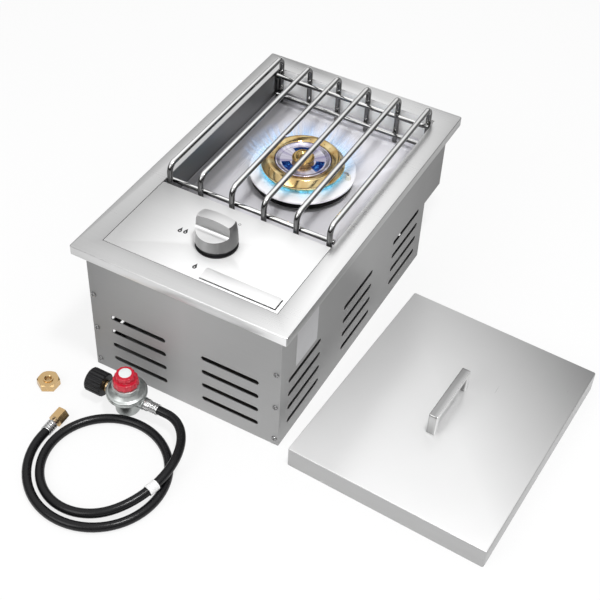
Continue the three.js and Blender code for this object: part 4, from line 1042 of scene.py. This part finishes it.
# %% Flame finishes
def flame_metal(name, root, tip, strength, start, end, fine):
    """A see-through blue that streaks away from the burner's axis and fades with its reach.

    Start and end say how much thinner the flame gets on the side that the draught comes from."""
    finish = Finish(name, Emission_Strength=0.5, Roughness=1.0)
    reach = finish.add("SeparateXYZ", None, {0: finish.add("TexCoord", out="UV")})
    ray = finish.ray()
    draught = finish.spread(finish.vector("DOT_PRODUCT", ray, (-0.47, 0.88, 0), "Value"), start,
                            end)
    colour = finish.mix(reach, (*root, 1), (*tip, 1))
    streak = finish.spread(finish.noise(fine, 3, 0.6, ray), 0.38, 0.62)
    finish.set(Base_Color=colour, Emission_Color=colour,
               Alpha=(1 - reach) ** 0.9 * (streak * 0.8 + 0.2) * draught * strength)
    return finish.material


veil_blue = flame_metal("flame veil", (0.32, 0.72, 1.0), (0.4, 0.55, 1.0), 0.36, -0.3, 0.45, 16)
root_blue = flame_metal("flame root", (0.2, 0.72, 0.95), (0.4, 0.82, 1.0), 0.85, -3, -2, 8)
print("flame finishes:", veil_blue.name, "and", root_blue.name)

# %% Tongues and skirts of flame
TONGUE_START, TONGUE_SIDES, TONGUE_STEPS, SKIRT_SIDES = 56.5, 10, 9, 144


def tongue(length, rise, width, spin, level=5.5):
    """One flame: rings of a taper that leaves a port and curls upward."""
    path, radii = [], []
    for i in range(TONGUE_STEPS + 1):
        t = i / TONGUE_STEPS
        path.append((TONGUE_START + length * t, 0, level + rise * t ** 1.8))
        radii.append(width * (0.35 + 1.3 * t) * (1 - t) ** 0.8 + 0.05)
    shape = moved(sweep(path, radii, TONGUE_SIDES), BURNER @ turn(spin, "Z"))
    return shape, [i / TONGUE_STEPS for i in range(TONGUE_STEPS + 1) for _ in range(TONGUE_SIDES)]


def skirt(profile):
    """A blue veil round the ring, from (radius, height, share of reach) triples."""
    shape = moved(lathe([(r, z) for r, z, _ in profile], SKIRT_SIDES), BURNER)
    return shape, [share for _ in range(SKIRT_SIDES) for _, _, share in profile]


def blaze(name, tongues):
    """Joins tongues into one piece, with their reach from the port kept as UV."""
    reaches = [share for _, shares in tongues for share in shares]
    mesh = mesh_of(name, *merged(*[shape for shape, _ in tongues]))
    uv = mesh.uv_layers.new(name="reach")
    for loop in mesh.loops:
        uv.data[loop.index].uv = (reaches[loop.vertex_index], 0.5)
    mesh.shade_smooth()
    return linked(name, mesh)


# %% Light the burner
close = [skirt([(54.2, 2.0, 0.0), (58.2, 7.5, 0.25), (59.6, 9.5, 0.9), (60.2, 9.5, 0.9),
                (59.2, 7.0, 0.25), (55.4, 2.0, 0.0)])]
wide = [skirt([(57, 4.5, 0.0), (66, 7, 0.3), (78, 13, 0.65), (90, 23, 1.0), (90.3, 23.4, 1.0),
               (78, 13.6, 0.65), (66, 7.6, 0.3), (57, 5.1, 0.0)])]
for i in range(PORTS):
    sway, port_turn = math.sin(i * 2.7) * 0.5 + math.sin(i * 1.3) * 0.5, (i + 0.5) * 360 / PORTS
    wide.append(tongue(26 + 8 * sway, 22 + 9 * sway, 1.5, port_turn + 2 * sway))
    close.append(tongue(5, 2.5, 1.0, port_turn, level=5.0))
for name, tongues, blue in (("flame_roots", close, root_blue), ("flame_veil", wide, veil_blue)):
    flames = dress(blaze(name, tongues), blue, "cup_steel")
    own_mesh(flames)
print("flames:", len(close) + len(wide), "tongues and veils")

# %% [markdown]
# ## Knob
# The knob is a turned, slightly domed cap. Two scoops leave a grip bar across it. The scoops are
# cut with one rounded prism, mirrored for the second side, and the edges get a soft bevel.

# %% Knob
KNOB_Y, KNOB_FOOT, KNOB_SOCKET = -161, 234.5, (4.3, 8, -1.5, 9.5)
KNOB = at(0, KNOB_Y, KNOB_FOOT)
KNOB_BASE, KNOB_TOP, KNOB_HEIGHT, KNOB_EDGE, KNOB_DOME = 28.3, 26.4, 38.5, 1.6, 4
GRIP, LEAN, FILLET, SCOOP, FALL, SCOOP_OUT, SCOOP_HALF = 7.75, 1.6, 6, 19, 4, 34, 36
crown = [(KNOB_TOP * (1 - i / 10), KNOB_HEIGHT - KNOB_DOME * (1 - i / 10) ** 2)
         for i in range(2, 10)]
knob_outline = ([(0, 7), (25.6, 7), (25.6, 0), (KNOB_BASE, 0), (KNOB_BASE - 0.15, 3),
                 (KNOB_TOP, KNOB_HEIGHT - KNOB_DOME - KNOB_EDGE),
                 (KNOB_TOP - KNOB_EDGE, KNOB_HEIGHT - KNOB_DOME * 0.86)] + crown
                + [(0, KNOB_HEIGHT)])
knob = turned("grip_knob", knob_outline, KNOB, 120)
bored(knob, tube(*KNOB_SOCKET), KNOB, 48, "UNION")
foot = bend((GRIP + LEAN + FILLET, SCOOP + FILLET), FILLET, 180, 270, 8)
scoop = [(GRIP, KNOB_HEIGHT + 5)] + foot + [(SCOOP_OUT, SCOOP - FALL), (SCOOP_OUT, KNOB_HEIGHT + 5)]
for side in (-1, 1):
    prism = slab([(side * y, z) for y, z in scoop], -SCOOP_HALF, SCOOP_HALF)
    carve(knob, moved(prism, KNOB), angle=40)
bevelled(knob, 0.8, 3, angle=40)
dress(knob, knob_metal, "knob_zinc", "control_knob")
print("grip bar:", 2 * GRIP, "mm thick")

# %% Bezel
bezel_outline = [(12, 0), (28.3, 0), (28.3, 1.5), (25, 1.5), (25, 9.8), (23.8, 11), (12, 11)]
bezel = turned("panel_bezel", eased(bezel_outline, 0.5), at(0, KNOB_Y, PANEL_TOP))
dress(bezel, black_plastic, "bezel_plastic", "knob_bezel")
print("knob and bezel at y", KNOB_Y)

# %% [markdown]
# ## Gas way
# Under the panel sit the valve with its jet, the stem with a spring that lets the knob be
# pushed, the mixing tube with its shutter and the pipe to the rear. Little of it shows, through
# the vents and when pieces lift off. Round parts are turned again, the rest keeps its CAD shape.

# %% Trimmed copies
TRIMMED = {
    "burner_bracket": (steel_hidden, "stainless_inner", 0.25),
    "valve_hat": (steel_hidden, "stainless_inner", 0.25),
    "mixing_tube": (steel_hidden, "stainless_inner", 0.25),
    "valve_body": (brass_fitting, "valve_brass", 0.25),
    "gas_jet": (brass_fitting, "valve_brass", 0.25),
    "inlet_fitting": (brass_fitting, "fitting_brass", 0.25),
    "air_shutter": (shutter_metal, "shutter_zinc", 0.1),
}
for node, (material, slot, width) in TRIMMED.items():
    dress(crisp(node, node + "_trim", width), material, slot, node)
print("trimmed copies:", len(TRIMMED))

# %% Stem, washer and spring
STEM, WASHER_INNER, WASHER_OUTER = 4, 4.3, 8.5
SPRING_WIRE, SPRING_RADIUS, WINDINGS, WINDING_STEPS = 1.1, 6.6, 4, 24
KNOB_AXIS = at(0, KNOB_Y, 0)
low, high = corners("valve_stem")
dress(turned("stem_rod", eased(tube(0, STEM, low.z, high.z), 0.5), KNOB_AXIS, 40), brass_fitting,
      "valve_brass", "valve_stem")
low, high = corners("spring_washer")
washer_outline = eased(tube(WASHER_INNER, WASHER_OUTER, low.z, high.z), 0.4)
dress(turned("washer_ring", washer_outline, KNOB_AXIS, 48), spring_metal, "spring_steel",
      "spring_washer")
low, high = corners("stem_spring")
spring_rise = high.z - low.z - 2 * SPRING_WIRE
spring_path = [(SPRING_RADIUS * math.cos(a), KNOB_Y + SPRING_RADIUS * math.sin(a),
                low.z + SPRING_WIRE + spring_rise * a / (math.tau * WINDINGS))
               for a in (math.tau * i / WINDING_STEPS
                         for i in range(WINDING_STEPS * WINDINGS + 1))]
spring = dress(make("push_spring", *sweep(spring_path, SPRING_WIRE, 12)), spring_metal,
               "spring_steel", "stem_spring")
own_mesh(spring)
print("spring:", WINDINGS, "windings")

# %% Pipe
PIPE, PIPE_BEND, PIPE_LEVEL = 6, 24, 60
low, high = corners("gas_pipe")
pipe_path = ([(0, KNOB_Y, high.z)]
             + bend((KNOB_Y + PIPE_BEND, PIPE_LEVEL + PIPE_BEND), PIPE_BEND, 180, 270, 12,
                    lambda y, z: (0, y, z))
             + [(0, high.y, PIPE_LEVEL)])
dress(make("bent_pipe", *sweep(pipe_path, PIPE, 28)), brass_fitting, "valve_brass", "gas_pipe")
print("pipe bent to a radius of", PIPE_BEND, "mm")

# %% [markdown]
# ## Lid
# The lid is a folded pan lying open side down. Its handle is a flat strap bent over twice, so its
# outline is drawn with the bends and extruded to the strap's width.

# %% Lid and strap handle
LID_TURN, LID_BEVEL, OUTER_BEND, INNER_BEND = -3, 0.4, 3.5, 1.5
STRAP_LENGTH, STRAP_HEIGHT, STRAP_WIDTH, STRAP_BAR = 100, 36, 12, 9
lid = dress(crisp("lid_shell", "lid_sheet", LID_BEVEL), steel_lid, "lid_steel", "lid_shell")
# The lid's right and front faces take a darker copy of its finish: painted shade.
refaced(refaced(lid, (1, 0, 0), lid_edge_painted_shade), (0, -1, 0), lid_edge_painted_shade)
lid_x, lid_y, _ = middle("lid_shell")
LID = at(lid_x, lid_y, corners("lid_shell")[1].z) @ turn(LID_TURN, "Z")
half, hollow, under = STRAP_LENGTH / 2, STRAP_LENGTH / 2 - STRAP_BAR, STRAP_HEIGHT - STRAP_BAR
strap = ([(-half, 0), (-hollow, 0)]
         + bend((-hollow + INNER_BEND, under - INNER_BEND), INNER_BEND, 180, 90, 4)
         + bend((hollow - INNER_BEND, under - INNER_BEND), INNER_BEND, 90, 0, 4)
         + [(hollow, 0), (half, 0)]
         + bend((half - OUTER_BEND, STRAP_HEIGHT - OUTER_BEND), OUTER_BEND, 0, 90, 6)
         + bend((-half + OUTER_BEND, STRAP_HEIGHT - OUTER_BEND), OUTER_BEND, 90, 180, 6))
handle = make("strap_handle", *moved(slab(strap, -STRAP_WIDTH / 2, STRAP_WIDTH / 2), LID))
dress(bevelled(handle, 0.9, 3, angle=50), chrome_handle, "handle_chrome", "lid_handle")
print("handle:", STRAP_LENGTH, "mm long")

# %% [markdown]
# ## Regulator
# The regulator is a zinc casting with a rolled rim and a domed bonnet. On it sits a red dial in
# two steps with fluted sides. A ribbed black hand wheel turns on the nipple at its left.

# %% Casting and bonnet
OUTLET_LEVEL, BOSS, BOSS_REACH = 27, 9, 29.5
reg_x, reg_y, _ = middle("regulator_bonnet")
REGULATOR = at(reg_x, reg_y, 0)
casting_outline = [(0, 0), (12, 0), (17, 3), (17, 31), (26, 33), (28, 33), (28, 36), (0, 36)]
casting = turned("zinc_casting", eased(casting_outline, 1.0), REGULATOR)
bored(casting, tube(0, BOSS, -BOSS_REACH, BOSS_REACH), REGULATOR @ at(0, 0, OUTLET_LEVEL) @ TO_X,
      48, "UNION")
dress(casting, zinc_cast, "regulator_zinc", "regulator_body")
bonnet = [(0, 36), (28, 36), (28.2, 37.6), (27, 39.4), (24.6, 40), (23, 41.4), (21, 43.6),
          (19.5, 45.2), (19.5, 52), (0, 52)]
dress(turned("zinc_bonnet", eased(bonnet, 0.9), REGULATOR), zinc_cast, "regulator_zinc",
      "regulator_bonnet")
print("regulator at", round(reg_x), round(reg_y))

# %% Dial
DIAL = REGULATOR @ at(0, 0, corners("regulator_dial")[0].z)
FLUTES, FLUTE_DEPTH, FLUTE_STEPS, PLAIN_CORE, DIAL_DISC = 12, 0.9, 8, 12, (8.5, 18.5, 19.8)


def fluted(outline):
    """A turned piece whose sides are fluted outside its plain core."""
    rings = []
    for i in range(FLUTES * FLUTE_STEPS):
        a = math.tau * i / (FLUTES * FLUTE_STEPS)
        dip = FLUTE_DEPTH * (0.5 - 0.5 * math.cos(a * FLUTES))
        radii = [(r - dip * (r > PLAIN_CORE), z) for r, z in outline]
        rings.append([(r * math.cos(a), r * math.sin(a), z) for r, z in radii])
    return skin(rings, loop=True)


dial_outline = [(0, 0), (18, 0), (17, 10), (12.5, 10), (12.5, 13), (13.5, 13), (13.5, 17.8),
                (12.3, 19), (0, 19)]
dress(make("red_dial", *moved(fluted(eased(dial_outline, 1.1, 4)), DIAL)), red_plastic,
      "dial_red", "regulator_dial")
dress(turned("dial_disc", eased(tube(0, *DIAL_DISC), 0.4), DIAL, 48), dial_white, "dial_red",
      body="regulator_dial")
print("flutes on the dial:", FLUTES)

# %% Nipple and hand wheel
BACK_X = turn(-90, "Y")
RIBS, RIB_STEPS, RIB_DEPTH, WHEEL_RADIUS, WHEEL_LENGTH = 18, 12, 1.1, 17, 26
WHEEL_HOLLOW, WHEEL_HOLE = (13, 5, 30), (5.6, -3, 8)
NIPPLE_PLACE, WHEEL = (at(corners(node)[1].x, reg_y, OUTLET_LEVEL) @ BACK_X
                       for node in ("tank_nipple", "hand_wheel"))
nipple = [(0, 0), (8, 0), (8, 4), (5, 4), (5, 28.5), (3.5, 30), (0, 30)]
dress(turned("tank_nipple_turned", eased(nipple, 0.5), NIPPLE_PLACE, 40), brass_fitting,
      "fitting_brass", "tank_nipple")


def rim_point(a):
    """A point on the ribbed rim at an angle: the radius dips between the ribs."""
    radius = WHEEL_RADIUS - RIB_DEPTH * abs(math.sin(a * RIBS / 2)) ** 3
    return radius * math.cos(a), radius * math.sin(a)


rim = [rim_point(math.tau * i / (RIBS * RIB_STEPS)) for i in range(RIBS * RIB_STEPS)]
wheel = make("ribbed_wheel", *moved(extrude(rim, 0, WHEEL_LENGTH), WHEEL))
barrel = [(0, -1), (14.5, -1), (17.5, 2), (17.5, WHEEL_LENGTH - 2), (14.5, WHEEL_LENGTH + 1),
          (0, WHEEL_LENGTH + 1)]
bored(wheel, barrel, WHEEL, 96, "INTERSECT")
bored(wheel, tube(0, *WHEEL_HOLLOW), WHEEL, 64)
bored(wheel, tube(0, *WHEEL_HOLE), WHEEL, 48)
dress(wheel, wheel_plastic, "wheel_black", "hand_wheel")
print("ribs:", RIBS)

# %% Adaptor
NUT_FLATS, NUT_LENGTH, NUT_TIP, NUT_LIP = 28, 11, 12.6, 7.1
nut_x, nut_y, _ = middle("adaptor_nut")
NUT = at(nut_x, nut_y, 0)
corner = NUT_FLATS / 2 / math.cos(math.radians(30))
nut = make("hex_adaptor", *moved(extrude(bend((0, 0), corner, 30, 330, 5), 0, NUT_LENGTH), NUT))
nut_faced = [(0, -1), (corner - 0.8, -1), (corner + 0.6, 1.2), (corner + 0.6, 9),
             (corner - 3.4, 12), (0, 12)]
bored(nut, nut_faced, NUT, 96, "INTERSECT")
bored(nut, tube(0, NUT_LIP, 5, NUT_TIP), NUT, 64, "UNION")
bored(nut, [(0, -2), (4, -2), (4, 11.4), (5.6, 13), (0, 13)], NUT, 64)
bevelled(nut, 0.35, 2, angle=30)
dress(nut, brass_fitting, "fitting_brass", "adaptor_nut")
print("adaptor:", NUT_FLATS, "mm across its flats")

# %% [markdown]
# ## Studio
# A small lamp above, to the right, gives the rods a shadow on the tray, and a broad soft one in
# front fills in. The world is white to the camera. Mirrors see it darker toward the horizon and
# below, so that rods and the knob show dark edges. The floor is plain and pale, and glows a
# little to the camera, so that it keeps only part of the shadow.

# %% Floor
FLOOR_HALF, FLOOR_GREY = 6000, 0.9
SEEN_SHARE, MIRRORED_SHARE = 0.8, 0.5
floor_corners = [(x, y, 0) for x, y in rectangle(*[(-FLOOR_HALF, FLOOR_HALF)] * 2)]
floor = linked("floor", mesh_of("floor", floor_corners, [(0, 1, 2, 3)]))
floor_finish = Finish("floor", Base_Color=(*[FLOOR_GREY] * 3, 1), Roughness=0.9,
                      Specular_IOR_Level=0.0)
seen, mirrored = (floor_finish.add("LightPath", out=ray)
                  for ray in ("Is Camera Ray", "Is Glossy Ray"))
lit = Signal(floor_finish, floor_finish.principled.outputs[0])
blend = floor_finish.add("MixShader", None, {
    "Fac": seen * SEEN_SHARE + mirrored * MIRRORED_SHARE, 1: lit, 2: floor_finish.add("Emission")})
floor_finish.wire(floor_finish.tree.nodes["Material Output"], {"Surface": blend})
paint(floor, floor_finish.material)
print("floor:", round(2 * FLOOR_HALF * MM), "m wide")

# %% World
SKY = ((0.0, 0.04), (0.12, 0.10), (0.3, 0.38), (0.55, 0.64), (0.75, 1.0))
PLAIN_LIGHT = 0.62
world = bpy.data.worlds.new("studio")
world.use_nodes = True
scene.world = world
sky_nodes = Nodes(world.node_tree)
height = sky_nodes.add("SeparateXYZ", None, {0: sky_nodes.add("TexCoord", out="Generated")},
                       out="Z")
sky = sky_nodes.add("ValToRGB", {"stops": [(place, (grey,) * 3) for place, grey in SKY]},
                    {"Fac": height})


def background(colour=WHITE, strength=1.0):
    """A background shader of one strength."""
    return sky_nodes.add("Background", None, {"Color": colour, "Strength": strength})


def choose(ray, plain, special):
    """Mixes in the special background for one kind of ray."""
    return sky_nodes.add("MixShader", None, {"Fac": sky_nodes.add("LightPath", out=ray), 1: plain,
                                             2: special})


studio = choose("Is Glossy Ray", background(strength=PLAIN_LIGHT), background(sky))
studio = choose("Is Transmission Ray", studio, background(sky))
studio = choose("Is Camera Ray", studio, background())
sky_nodes.wire(world.node_tree.nodes["World Output"], {"Surface": studio})
print("sky:", len(SKY), "steps from horizon to zenith")


# %% Lamps
def lamp(name, place, aim, size, watts):
    """A square lamp at a place, in metres, turned to what it lights."""
    data = bpy.data.lights.new(name, "AREA")
    data.size, data.energy = size, watts
    holder = linked(name, data)
    holder.location = Vector(place)
    holder.rotation_euler = (Vector(aim) - Vector(place)).to_track_quat("-Z", "Y").to_euler()


lamp("overhead", (0.62, -0.45, 2.35), (0, 0, 0.1), 0.3, 27)
lamp("front", (-0.6, -2.0, 1.6), (0, -0.1, 0.1), 1.2, 12)
print("lamps ready")
